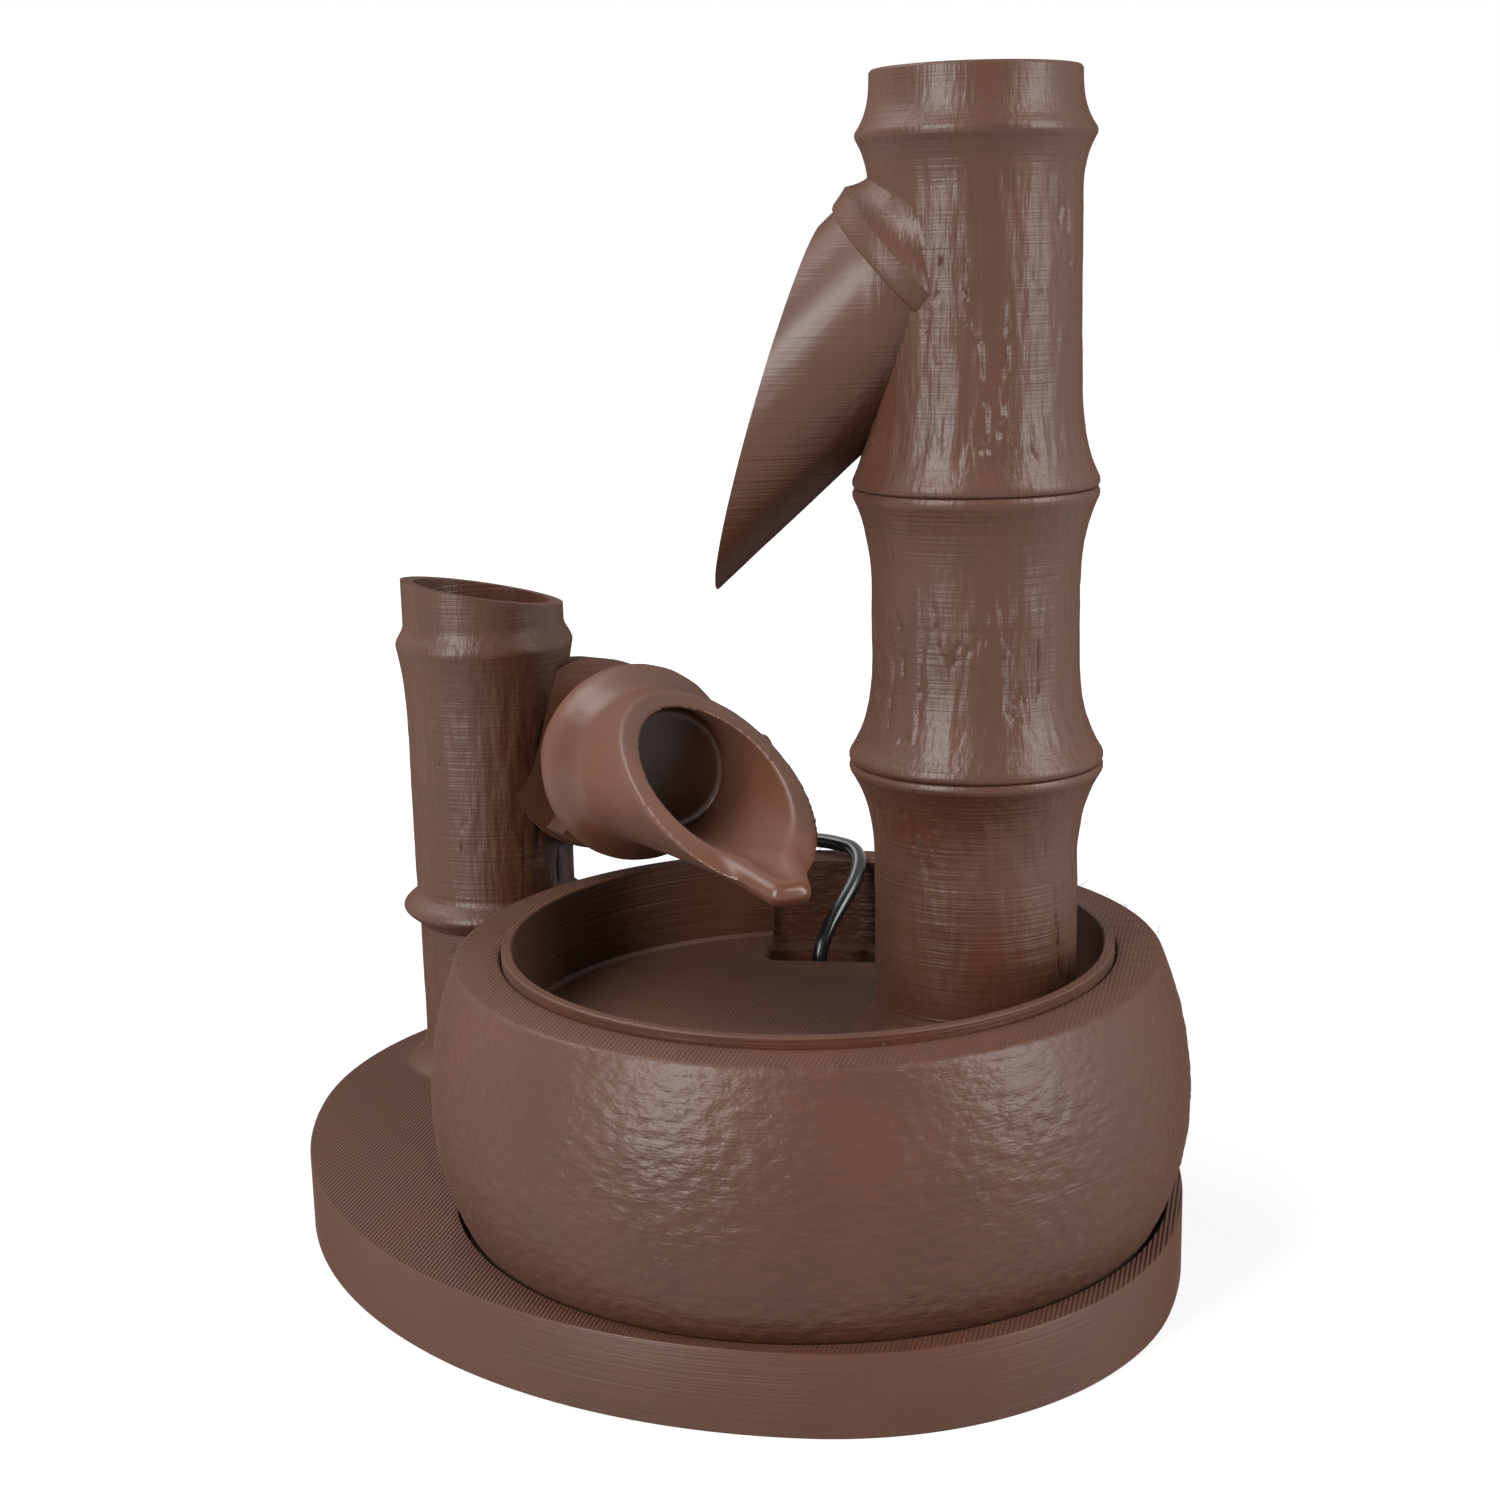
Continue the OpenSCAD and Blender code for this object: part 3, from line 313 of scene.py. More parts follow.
@dataclass(frozen=True)
class PlainFinish:
    """A moulded, metal, rubber or ceramic surface with a fine texture of its own."""

    name: str
    color: Color
    roughness: float = 0.5
    metallic: float = 0.0
    texture_scale: float = 1500.0
    texture: float = 0.1
    brushed: Point = (1.0, 1.0, 1.0)
    spread: float = 0.12
    alpha: float = 1.0
    uneven: float = 0.08
    depth: float = 0.0001
    cloud_scale: float = 120.0

    def make(self) -> bpy.types.Material:
        """Build the material.

        Returns:
            The finished material.
        """
        g = Surface(self.name)
        fine = g.noise(g.vector("MULTIPLY", g.spot, self.brushed), self.texture_scale)
        cloud = g.noise(g.spot, self.cloud_scale, 2.0)
        g.mottle(g.smooth(cloud, 0.3, 0.7), self.color, 1.0 - self.spread, 1.0 + self.spread)
        g.emboss(fine, self.texture, self.depth)
        rough = g.plus(self.roughness - self.uneven / 2, g.times(fine, self.uneven))
        g.join(g.shader, {"Roughness": rough, "Metallic": self.metallic, "Alpha": self.alpha})
        return g.material


class Finish(Enum):
    """Finishes of the object."""

    BAMBOO = PrintedFinish("printed bamboo", roughness=0.36, layers=0.5, grain=0.9)
    STEM = PrintedFinish("printed bamboo and tray", roughness=0.36, layers=0.5, grain=0.9,
                         bark_axis=(0.027, -0.0498))
    HAMMERED = PrintedFinish("printed hammered bowl", roughness=0.39, pitted=1.9)
    PLAIN = PrintedFinish("printed plain", roughness=0.42, layers=0.5, hatch=0.9)
    SMOOTH = PrintedFinish("printed tipper", (0.116, 0.0425, 0.0205), 0.26, layers=0.12, hatch=0.0,
                           grain=0.12)
    STEEL = PlainFinish("turned steel", (0.56, 0.57, 0.58), 0.28, 1.0, 900.0, 0.15, (1.0, 1.0, 9.0))
    SHEET = PlainFinish("laminated steel", (0.3, 0.31, 0.33), 0.4, 1.0, 300.0, 0.4, (1.0, 40.0, 1.0))
    NYLON = PlainFinish("white nylon", (0.8, 0.78, 0.72), 0.45)
    HOSE = PlainFinish("clear hose", (0.78, 0.82, 0.84), 0.15, alpha=0.45)
    PUMP = PlainFinish("moulded pump shell", (0.028, 0.03, 0.034), 0.42, texture=0.35)
    COPPER = PlainFinish("copper winding", (0.72, 0.33, 0.17), 0.3, 1.0, 200.0, 0.5, (1.0, 30.0, 1.0))
    MAGNET = PlainFinish("ferrite magnet", (0.09, 0.09, 0.1), 0.55)
    CERAMIC = PlainFinish("white ceramic", (0.82, 0.82, 0.79), 0.25)
    RUBBER = PlainFinish("black rubber", (0.02, 0.02, 0.021), 0.7, texture=0.3)
    CABLE = PlainFinish("cable sheath", (0.011, 0.011, 0.012), 0.22, texture=0.06, spread=0.3)
    GOLD = PlainFinish("gold contact", (0.83, 0.62, 0.25), 0.25, 1.0)

    @cache
    def material(self) -> bpy.types.Material:
        """Build the finish's material the first time and give it."""
        return self.value.make()


# Shapes as numbers
def lerp(a: float, b: float, t: float) -> float:
    """Go from a to b by the share t."""
    return a + (b - a) * t


def flare(d: float, depth: float, h: float) -> float:
    """Radius that a trumpet flare adds at a distance d from its lip."""
    return depth * max(0.0, 1.0 - d / h) ** 3


def bump(d: float, depth: float, half: float) -> float:
    """Radius that a rounded node ring adds at a distance d from its middle."""
    return 0.0 if abs(d) >= half else depth * (1.0 + math.cos(math.pi * d / half)) / 2.0


def fade(z: float, low: float, high: float, soft: float) -> float:
    """Share that is 1 between low and high and falls to 0 over soft outside them."""
    return max(0.0, min(1.0, (z - low) / soft + 1.0, (high - z) / soft + 1.0))


def wall(shape: Callable[[float], float], z0: float, z1: float, step: float,
         relief: Callable[[float], float]) -> list[Row]:
    """Rows of a wall from z0 to z1.

    Args:
        shape: Radius at a height.
        z0: First height.
        z1: Last height.
        step: Largest distance between rows.
        relief: Share of relief at a height.

    Returns:
        The rows, both ends included.
    """
    count = max(1, math.ceil(abs(z1 - z0) / step))
    heights = [lerp(z0, z1, i / count) for i in range(count + 1)]
    return [(shape(z), z, relief(z)) for z in heights]


def at(x: float, y: float, z: float) -> Matrix:
    """Give the matrix, in metres, that carries the origin to a place in mm."""
    return Matrix.Translation(Vector((x, y, z)) * MM)


def turned(degrees: float, axis: str) -> Matrix:
    """Give the matrix that turns round an axis by degrees."""
    return Matrix.Rotation(math.radians(degrees), 4, axis)


# Mesh operations
def link(name: str, data: bpy.types.ID) -> bpy.types.Object:
    """Make an object of a datablock and put it in the scene.

    Args:
        name: Name of the object.
        data: Its mesh, curve, lamp or camera.

    Returns:
        The new object.
    """
    obj = bpy.data.objects.new(name, data)
    bpy.context.scene.collection.objects.link(obj)
    return obj


def new_piece(name: str, verts: Iterable = ((0, 0, 0),), faces: Sequence = (),
              relief: Sequence[float] | None = None) -> bpy.types.Object:
    """Make a mesh object at the origin, with outward normals.

    Args:
        name: Name of the object.
        verts: Points in metres, or a single one for a tree to replace.
        faces: Index tuples.
        relief: Share of relief at each point.

    Returns:
        The new object.
    """
    mesh = bpy.data.meshes.new(name)
    mesh.from_pydata([tuple(v) for v in verts], [], [tuple(f) for f in faces])
    if relief is not None:
        data = mesh.attributes.new("relief", "FLOAT", "POINT").data
        data.foreach_set("value", np.asarray(relief, np.float32))
    bm = bmesh.new()
    bm.from_mesh(mesh)
    bmesh.ops.recalc_face_normals(bm, faces=bm.faces)
    bm.to_mesh(mesh)
    bm.free()
    return link(name, mesh)


def lathe(name: str, rows: Sequence[Row], segments: int, ring: bool = False) -> bpy.types.Object:
    """Turn rows of radius and height round the Z axis.

    Args:
        name: Name of the object.
        rows: The rows; they end on the axis unless ring is set.
        segments: Steps round the axis.
        ring: Whether the rows close on themselves.

    Returns:
        The turned solid, in metres.
    """
    verts, relief, starts = [], [], []
    turn = np.arange(segments) * 2.0 * math.pi / segments
    c, s = np.cos(turn), np.sin(turn)
    for r, z, *share in rows:
        starts.append((len(verts), r <= 0.0))
        if r <= 0.0:
            verts.append((0.0, 0.0, z * MM))
            relief.append(0.0)
        else:
            verts.extend(zip(r * c * MM, r * s * MM, [z * MM] * segments))
            relief.extend((share or [0.0]) * segments)
    faces = []
    pairs = list(zip(starts, starts[1:])) + ([(starts[-1], starts[0])] if ring else [])
    for (a, a_pole), (b, b_pole) in pairs:
        for j in range(segments):
            k = (j + 1) % segments
            if a_pole and b_pole:
                break
            if a_pole:
                faces.append((a, b + k, b + j))
            elif b_pole:
                faces.append((a + j, a + k, b))
            else:
                faces.append((a + j, a + k, b + k, b + j))
    return new_piece(name, verts, faces, relief)


def rod(name: str, r: float, z0: float, z1: float, segments: int) -> bpy.types.Object:
    """Make a round rod of radius r along the Z axis, from z0 to z1."""
    return lathe(name, [(0.0, z0), (r, z0), (r, z1), (0.0, z1)], segments)


def stack(name: str, outlines: Sequence, heights: Sequence[float]) -> bpy.types.Object:
    """Join outlines in plan, one at each height, into a solid.

    Args:
        name: Name of the object.
        outlines: Lists of as many corner points each, in mm.
        heights: Height of each outline in mm, upwards.

    Returns:
        The solid, in metres.
    """
    n, last = len(outlines[0]), len(outlines) - 1
    verts = [(x * MM, y * MM, z * MM) for outline, z in zip(outlines, heights) for x, y in outline]
    faces = [tuple(range(n))[::-1], tuple(range(last * n, last * n + n))]
    faces += [(i * n + j, i * n + (j + 1) % n, (i + 1) * n + (j + 1) % n, (i + 1) * n + j)
              for i in range(last) for j in range(n)]
    return new_piece(name, verts, faces)


def prism(name: str, outline: Sequence[tuple[float, float]], z0: float, z1: float) -> bpy.types.Object:
    """Raise an outline in plan, in mm, into a solid from z0 to z1."""
    return stack(name, [outline, outline], [z0, z1])


def place(obj: bpy.types.Object, *matrices: Matrix) -> bpy.types.Object:
    """Move an object's mesh by matrices in metres, one after the other, and return the object."""
    for matrix in matrices:
        obj.data.transform(matrix)
    return obj


def settle(obj: bpy.types.Object) -> bpy.types.Object:
    """Turn an object with modifiers into a plain mesh.

    Args:
        obj: The object, whose modifiers are removed.

    Returns:
        The same object.
    """
    bpy.context.view_layer.update()
    graph = bpy.context.evaluated_depsgraph_get()
    mesh = bpy.data.meshes.new_from_object(obj.evaluated_get(graph), depsgraph=graph)
    obj.modifiers.clear()
    old, obj.data = obj.data, mesh
    mesh.name = obj.name
    if old.users == 0:
        bpy.data.meshes.remove(old)
    return obj


def carve(obj: bpy.types.Object, how: Cut, *tools: bpy.types.Object) -> bpy.types.Object:
    """Join tools to a solid, take them away or keep what lies in them, and delete them.

    Args:
        obj: The solid.
        how: Join, take or keep.
        tools: The tools.

    Returns:
        The same solid.
    """
    for tool in tools:
        mod = obj.modifiers.new(how.name, "BOOLEAN")
        mod.operation, mod.solver, mod.object = how.value, "MANIFOLD", tool
        settle(obj)
        bpy.data.objects.remove(tool)
    return obj


def dress(obj: bpy.types.Object, finish: Finish, angle: float = 32.0) -> bpy.types.Object:
    """Give a finished piece one material and smooth shading with crisp edges.

    Args:
        obj: The piece.
        finish: Its finish.
        angle: Edges sharper than this many degrees stay crisp.

    Returns:
        The same piece.
    """
    obj.data.materials.clear()
    obj.data.materials.append(finish.material())
    obj.data.polygons.foreach_set("material_index", [0] * len(obj.data.polygons))
    obj.data.shade_smooth()
    obj.data.set_sharp_from_angle(angle=math.radians(angle))
    if "relief" in obj.data.attributes:
        obj.data.attributes.remove(obj.data.attributes["relief"])
    return obj


def hand_over(obj: bpy.types.Object, body: Body, slot: str, *nodes: str) -> bpy.types.Object:
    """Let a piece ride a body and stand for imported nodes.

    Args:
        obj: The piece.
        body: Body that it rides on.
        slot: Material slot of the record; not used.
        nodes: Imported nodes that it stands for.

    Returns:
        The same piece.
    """
    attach(obj, body.value)
    if nodes:
        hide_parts(*nodes)
    LOG.info("%s rides %s, %d faces, stands for %s", obj.name, body.value,
             len(obj.data.polygons) if obj.type == "MESH" else 0, ", ".join(nodes) or "nothing")
    return obj


def repaint(finish: Finish, *nodes: str) -> None:
    """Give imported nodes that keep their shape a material."""
    for name in nodes:
        obj = frame["nodes"][name]
        obj.data.materials.clear()
        obj.data.materials.append(finish.material())
        LOG.info("%s keeps its packed shape", name)


# Geometry node trees
class Socket(Enum):
    """Kinds of socket that a tree's interface uses."""

    SHAPE = "NodeSocketGeometry"
    NUMBER = "NodeSocketFloat"
    COUNT = "NodeSocketInt"
    FINISH = "NodeSocketMaterial"


class ShapeTree:
    """A geometry tree with named inputs that ends in Realize Instances and Set Material."""

    def __init__(self, name: str, numbers: str, counts: str = "") -> None:
        """Make the tree and its interface.

        Args:
            name: Name of the tree.
            numbers: Names of the inputs that are numbers, with commas between them.
            counts: Names of the inputs that are whole numbers, in the same way.
        """
        self.tree = bpy.data.node_groups.new(name, "GeometryNodeTree")
        face = self.tree.interface
        face.new_socket("Geometry", in_out="OUTPUT", socket_type=Socket.SHAPE.value)
        kinds = {"Geometry": Socket.SHAPE}
        kinds.update((key, Socket.NUMBER) for key in numbers.split(", "))
        kinds.update((key, Socket.COUNT) for key in counts.split(", ") if key)
        kinds["Finish"] = Socket.FINISH
        self.ids = {key: face.new_socket(key, in_out="INPUT", socket_type=kind.value).identifier
                    for key, kind in kinds.items()}
        self.graph = Graph(self.tree)
        self.start = self.tree.nodes.new("NodeGroupInput")

    def value(self, key: str) -> bpy.types.NodeSocket:
        """Give the socket of a named input."""
        return self.start.outputs[key]

    def close(self, shape: bpy.types.NodeSocket) -> "ShapeTree":
        """Link the last shape through Realize Instances and Set Material to the output.

        Args:
            shape: Socket of the last shape.

        Returns:
            The finished tree.
        """
        real = self.graph.add("GeometryNodeRealizeInstances", {0: shape})
        done = self.graph.add("GeometryNodeSetMaterial", {0: real.outputs[0],
                                                          "Material": self.value("Finish")})
        end = self.tree.nodes.new("NodeGroupOutput")
        self.tree.links.new(done.outputs[0], end.inputs[0])
        return self

    def sow(self, points: bpy.types.Node, shape: bpy.types.Node, **inputs: object) -> "ShapeTree":
        """Put a node's shape on every point of another, fill more inputs and close the tree."""
        sown = self.graph.add("GeometryNodeInstanceOnPoints", {
            "Points": points.outputs[0], "Instance": shape.outputs[0], **inputs})
        return self.close(sown.outputs[0])

    def run(self, obj: bpy.types.Object, finish: Finish, values: dict[str, float]) -> bpy.types.Object:
        """Run the tree on an object and keep the result as a plain mesh.

        Args:
            obj: The object.
            finish: Its finish.
            values: Input name to value.

        Returns:
            The same object.
        """
        mod = obj.modifiers.new(self.tree.name, "NODES")
        mod.node_group = self.tree
        for key, value in {**values, "Finish": finish.material()}.items():
            mod[self.ids[key]] = value
        return settle(obj)


@dataclass(frozen=True)
class Relief:
    """Dents and cracks of a face: depths, and sizes across and along the Z axis, in mm."""

    depth: float
    across: float
    along: float
    crack: float = 0.0
    seed: float = 0.0
    crack_across: float = 7.5
    crack_along: float = 46.0


BARK = Relief(0.75, 2.3, 12.0)


def relief_tree() -> ShapeTree:
    """Tree that presses grain, dents and cracks into a surface, as its relief share allows.

    Returns:
        The tree, with sizes in metres and shares per metre.
    """
    t = ShapeTree("surface relief", "Depth, Across, Along, Crack Depth, Crack Across, Crack Along, Seed")
    g = t.graph
    here = g.add("GeometryNodeInputPosition").outputs[0]
    share = g.add("GeometryNodeInputNamedAttribute", {"Name": "relief"}).outputs[0]
    patch_scales, patch_edge, crack_width, crack_shift = (55.0, 55.0, 26.0), (0.47, 0.6), 0.02, 31.0

    def centred(across: str, along: str, shift: float) -> bpy.types.NodeSocket:
        """Give noise round 0 that has a scale across and one along the Z axis.

        Args:
            across: Name of the input with the scale across.
            along: Name of the input with the scale along.
            shift: Number that is added to the seed.

        Returns:
            The noise, from -0.5 to 0.5.
        """
        scale = g.add("ShaderNodeCombineXYZ", {0: t.value(across), 1: t.value(across), 2: t.value(along)})
        seed = g.plus(t.value("Seed"), shift)
        spot = g.vector("ADD", g.vector("MULTIPLY", here, scale.outputs[0]), seed)
        return g.minus(g.noise(spot, 1.0), 0.5)

    dents = g.times(centred("Across", "Along", 0.0), t.value("Depth"))
    line = g.math("ABSOLUTE", centred("Crack Across", "Crack Along", crack_shift))
    crack = g.smooth(line, crack_width, 0.0)
    where = g.smooth(g.grain(here, patch_scales, 1.0), *patch_edge)
    sunk = g.times(g.times(crack, where), t.value("Crack Depth"))
    total = g.times(g.minus(dents, sunk), share)
    normal = g.add("GeometryNodeInputNormal").outputs[0]
    offset = g.add("ShaderNodeVectorMath", {0: normal, "Scale": total}, operation="SCALE").outputs[0]
    moved = g.add("GeometryNodeSetPosition", {"Geometry": t.value("Geometry"), "Offset": offset})
    return t.close(moved.outputs[0])


def wisp_tree() -> ShapeTree:
    """Tree that scatters fine plastic hairs along a circle.

    Returns:
        The tree, with sizes in metres.
    """
    t = ShapeTree("stringing", "Radius, Length", "Count, Seed")
    g, seed = t.graph, t.value("Seed")
    stray, thin, thick = (0.0011, 0.0011, 0.0001), 0.00003, 0.00009
    least_lean, most_lean = (0.5, 0.5, 0.0), (1.5, 1.5, 6.28)
    circle = g.add("GeometryNodeMeshCircle", {"Vertices": t.value("Count"), "Radius": t.value("Radius")})
    span = g.add("FunctionNodeRandomValue", {0: [-v for v in stray], 1: stray, "Seed": seed},
                 data_type="FLOAT_VECTOR")
    moved = g.add("GeometryNodeSetPosition", {"Geometry": circle.outputs[0], "Offset": span.outputs[0]})
    points = g.add("GeometryNodeMeshToPoints", {0: moved.outputs[0]})
    hair = g.add("GeometryNodeMeshCone", {"Vertices": 5, "Radius Top": thin, "Radius Bottom": thick,
                                          "Depth": t.value("Length")})
    turn = g.add("FunctionNodeRandomValue", {0: least_lean, 1: most_lean, "Seed": g.plus(seed, 7.0)},
                 data_type="FLOAT_VECTOR")
    size = g.add("FunctionNodeRandomValue", {2: 0.25, 3: 1.0, "Seed": seed})
    return t.sow(points, hair, Rotation=turn.outputs[0], Scale=size.outputs[1])


def rib_tree() -> ShapeTree:
    """Tree that repeats a rib in a row along Y.

    Returns:
        The tree, with sizes in metres.
    """
    t = ShapeTree("ribs", "Pitch, Width, Depth, Height", "Count")
    g = t.graph
    step = g.add("ShaderNodeCombineXYZ", {1: t.value("Pitch")}).outputs[0]
    row = g.add("GeometryNodeMeshLine", {"Count": t.value("Count"), "Offset": step}, mode="OFFSET")
    size = g.add("ShaderNodeCombineXYZ", {0: t.value("Width"), 1: t.value("Depth"), 2: t.value("Height")})
    return t.sow(row, g.add("GeometryNodeMeshCube", {"Size": size.outputs[0]}))


@dataclass
class Trees:
    """The geometry trees, made once."""

    relief: ShapeTree
    wisps: ShapeTree
    ribs: ShapeTree

    def press(self, obj: bpy.types.Object, finish: Finish, relief: Relief) -> bpy.types.Object:
        """Press relief into an object whose points have a relief share."""
        return self.relief.run(obj, finish, {
            "Depth": relief.depth * MM, "Crack Depth": relief.crack * MM, "Seed": relief.seed,
            "Across": 1.0 / (relief.across * MM), "Crack Across": 1.0 / (relief.crack_across * MM),
            "Along": 1.0 / (relief.along * MM), "Crack Along": 1.0 / (relief.crack_along * MM)})

    def rib_row(self, name: str, finish: Finish, count: int, pitch: float, size: Point) -> bpy.types.Object:
        """Make a row of ribs along Y.

        Args:
            name: Name of the piece.
            finish: Its finish.
            count: Number of ribs.
            pitch: Distance from rib to rib in mm.
            size: Size of a rib along X, Y and Z in mm.

        Returns:
            The row, with its first rib round the origin.
        """
        sides = {key: value * MM for key, value in zip(("Width", "Depth", "Height"), size)}
        return self.ribs.run(new_piece(name), finish, {"Count": count, "Pitch": pitch * MM, **sides})


# Places and studio
@dataclass(frozen=True)
class Layout:
    """Places that the sub-assemblies share, in mm."""

    bowl_y: float = -29.0
    stem: tuple[float, float] = (27.0, -49.8)
    post: tuple[float, float] = (-21.6, 74.4)
    plate_t: float = 16.6
    bowl_z: float = 10.6
    rim_z: float = 67.4
    tray_floor_z: float = 50.4
    tray_z: float = 47.8

    def bowl_at(self, z: float) -> Matrix:
        """Give the matrix that carries the origin to the bowl's axis, at a height."""
        return at(0.0, self.bowl_y, z)

    def stem_at(self, z: float) -> Matrix:
        """Give the matrix that carries the origin to the tall bamboo's axis, at a height."""
        return at(*self.stem, z)

    def post_at(self, z: float) -> Matrix:
        """Give the matrix that carries the origin to the short post's axis, at a height."""
        return at(*self.post, z)


@dataclass(frozen=True)
class SoftBox:
    """A rectangular lamp that looks at the object, in metres, degrees and watts."""

    name: str
    beside: float
    height: float
    distance: float
    size: tuple[float, float]
    power: float
    aim_z: float = 0.1

    def hang(self, towards: float) -> None:
        """Hang the lamp.

        Args:
            towards: Direction from the object to the camera, in degrees in the row frame.
        """
        data = bpy.data.lights.new(self.name, "AREA")
        data.shape = "RECTANGLE"
        data.size, data.size_y = self.size
        data.energy = self.power
        obj = link(self.name, data)
        a = math.radians(towards + self.beside)
        where = Vector((self.distance * math.cos(a), self.distance * math.sin(a), self.height))
        obj.location = where
        aim = Vector((0, 0, self.aim_z)) - where
        obj.rotation_euler = aim.to_track_quat("-Z", "Y").to_euler()


@dataclass
class Studio:
    """Camera, floor and lights.

    The camera was fitted in a frame of its own, whose unit is in mm and whose origin is centre.
    """

    focal_px: float = 2200.0
    frame_px: float = 1500.0
    sensor: float = 36.0
    clip: tuple[float, float] = (0.01, 20.0)
    pitch: float = 12.672
    roll: float = 1.320
    turn: float = 31.0
    unit: float = 71.0
    shift: Point = (0.1497, -0.5519, 6.2902)
    centre: Point = (0.0, -29.0, 67.4)
    towards: float = -121.0
    boxes: tuple[SoftBox, ...] = (
        SoftBox("box left", -42.0, 0.62, 1.1, (0.34, 1.3), 17.5),
        SoftBox("box right", 63.0, 0.58, 1.1, (0.34, 1.2), 13.5),
        SoftBox("box above", -118.0, 1.15, 0.85, (0.8, 0.7), 8.0))
    floor_half: float = 3.0
    floor_grey: float = 0.25
    floor_grey_seen: float = 0.3
    floor_glow: float = 0.8
    far_glow: float = 0.25
    glow_rise: tuple[float, float] = (0.12, 0.5)
    sky: float = 0.025

    def to_part(self, v: Vector) -> Vector:
        """Turn a direction of the fitted camera frame into the row frame."""
        return Matrix.Rotation(-math.radians(self.turn), 3, "Z") @ v

    def camera(self) -> None:
        """Stand the camera where the photograph was taken from."""
        a, b = math.radians(self.pitch), math.radians(self.roll)
        tx, ty, d = self.shift
        eye = Vector((-tx, -d * math.cos(a) - ty * math.sin(a), d * math.sin(a) - ty * math.cos(a)))
        right, up = Vector((1, 0, 0)), Vector((0, math.sin(a), math.cos(a)))
        x = self.to_part(right * math.cos(b) - up * math.sin(b))
        y = self.to_part(right * math.sin(b) + up * math.cos(b))
        z = x.cross(y)
        where = (self.to_part(eye) * self.unit + Vector(self.centre)) * MM
        data = bpy.data.cameras.new("camera")
        data.lens = self.focal_px / self.frame_px * self.sensor
        data.sensor_width = self.sensor
        data.sensor_fit = "HORIZONTAL"
        data.clip_start, data.clip_end = self.clip
        cam = link("camera", data)
        cam.matrix_world = Matrix.Translation(where) @ Matrix((x, y, z)).transposed().to_4x4()
        bpy.context.scene.camera = cam

    @staticmethod
    def seen(g: Graph) -> bpy.types.NodeSocket:
        """Tell what the camera sees, straight, mirrored or through clear pieces.

        Args:
            g: Node tree of a shader.

        Returns:
            A socket that is 1 for such rays and 0 for others.
        """
        ray = g.add("ShaderNodeLightPath")
        mirrored = g.plus(ray.outputs["Is Glossy Ray"], ray.outputs["Is Transmission Ray"])
        return g.math("ADD", ray.outputs["Is Camera Ray"], mirrored, clamp=True)

    def floor(self) -> None:
        """Lay a wide pale floor that shows white to the camera and keeps the shadow."""
        half = self.floor_half
        obj = new_piece("floor", [(-half, -half, 0), (half, -half, 0), (half, half, 0), (-half, half, 0)],
                        [(0, 1, 2, 3)])
        g = Surface("floor")
        seen = self.seen(g)
        grey = g.blend(seen, [self.floor_grey] * 3, [self.floor_grey_seen] * 3)
        g.join(g.shader, {"Base Color": grey, "Roughness": 0.9, "Specular IOR Level": 0.0})
        far = g.times(g.smooth(g.length(g.spot), *self.glow_rise), self.far_glow)
        glow = g.add("ShaderNodeEmission", {"Color": (1, 1, 1, 1),
                                            "Strength": g.times(seen, g.plus(self.floor_glow, far))})
        both = g.add("ShaderNodeAddShader", {0: g.shader.outputs[0], 1: glow.outputs[0]})
        g.join(g.tree.nodes["Material Output"], {0: both.outputs[0]})
        obj.data.materials.append(g.material)

    def world(self) -> None:
        """Light all round, and white where the camera looks past the floor."""
        world = bpy.data.worlds.new("world")
        world.use_nodes = True
        g = Graph(world.node_tree)
        level = g.plus(self.sky, g.times(self.seen(g), 1.0 - self.sky))
        g.join(g.tree.nodes["Background"], {0: (1.0, 1.0, 1.0, 1.0), 1: level})
        bpy.context.scene.world = world

    def build(self) -> None:
        """Set up the whole studio."""
        bpy.context.scene.view_settings.view_transform = "Standard"
        self.camera()
        self.floor()
        self.world()
        for box in self.boxes:
            box.hang(self.towards)


# The parts
@dataclass
class Assembly:
    """Places and trees that a sub-assembly is built with."""

    layout: Layout
    trees: Trees


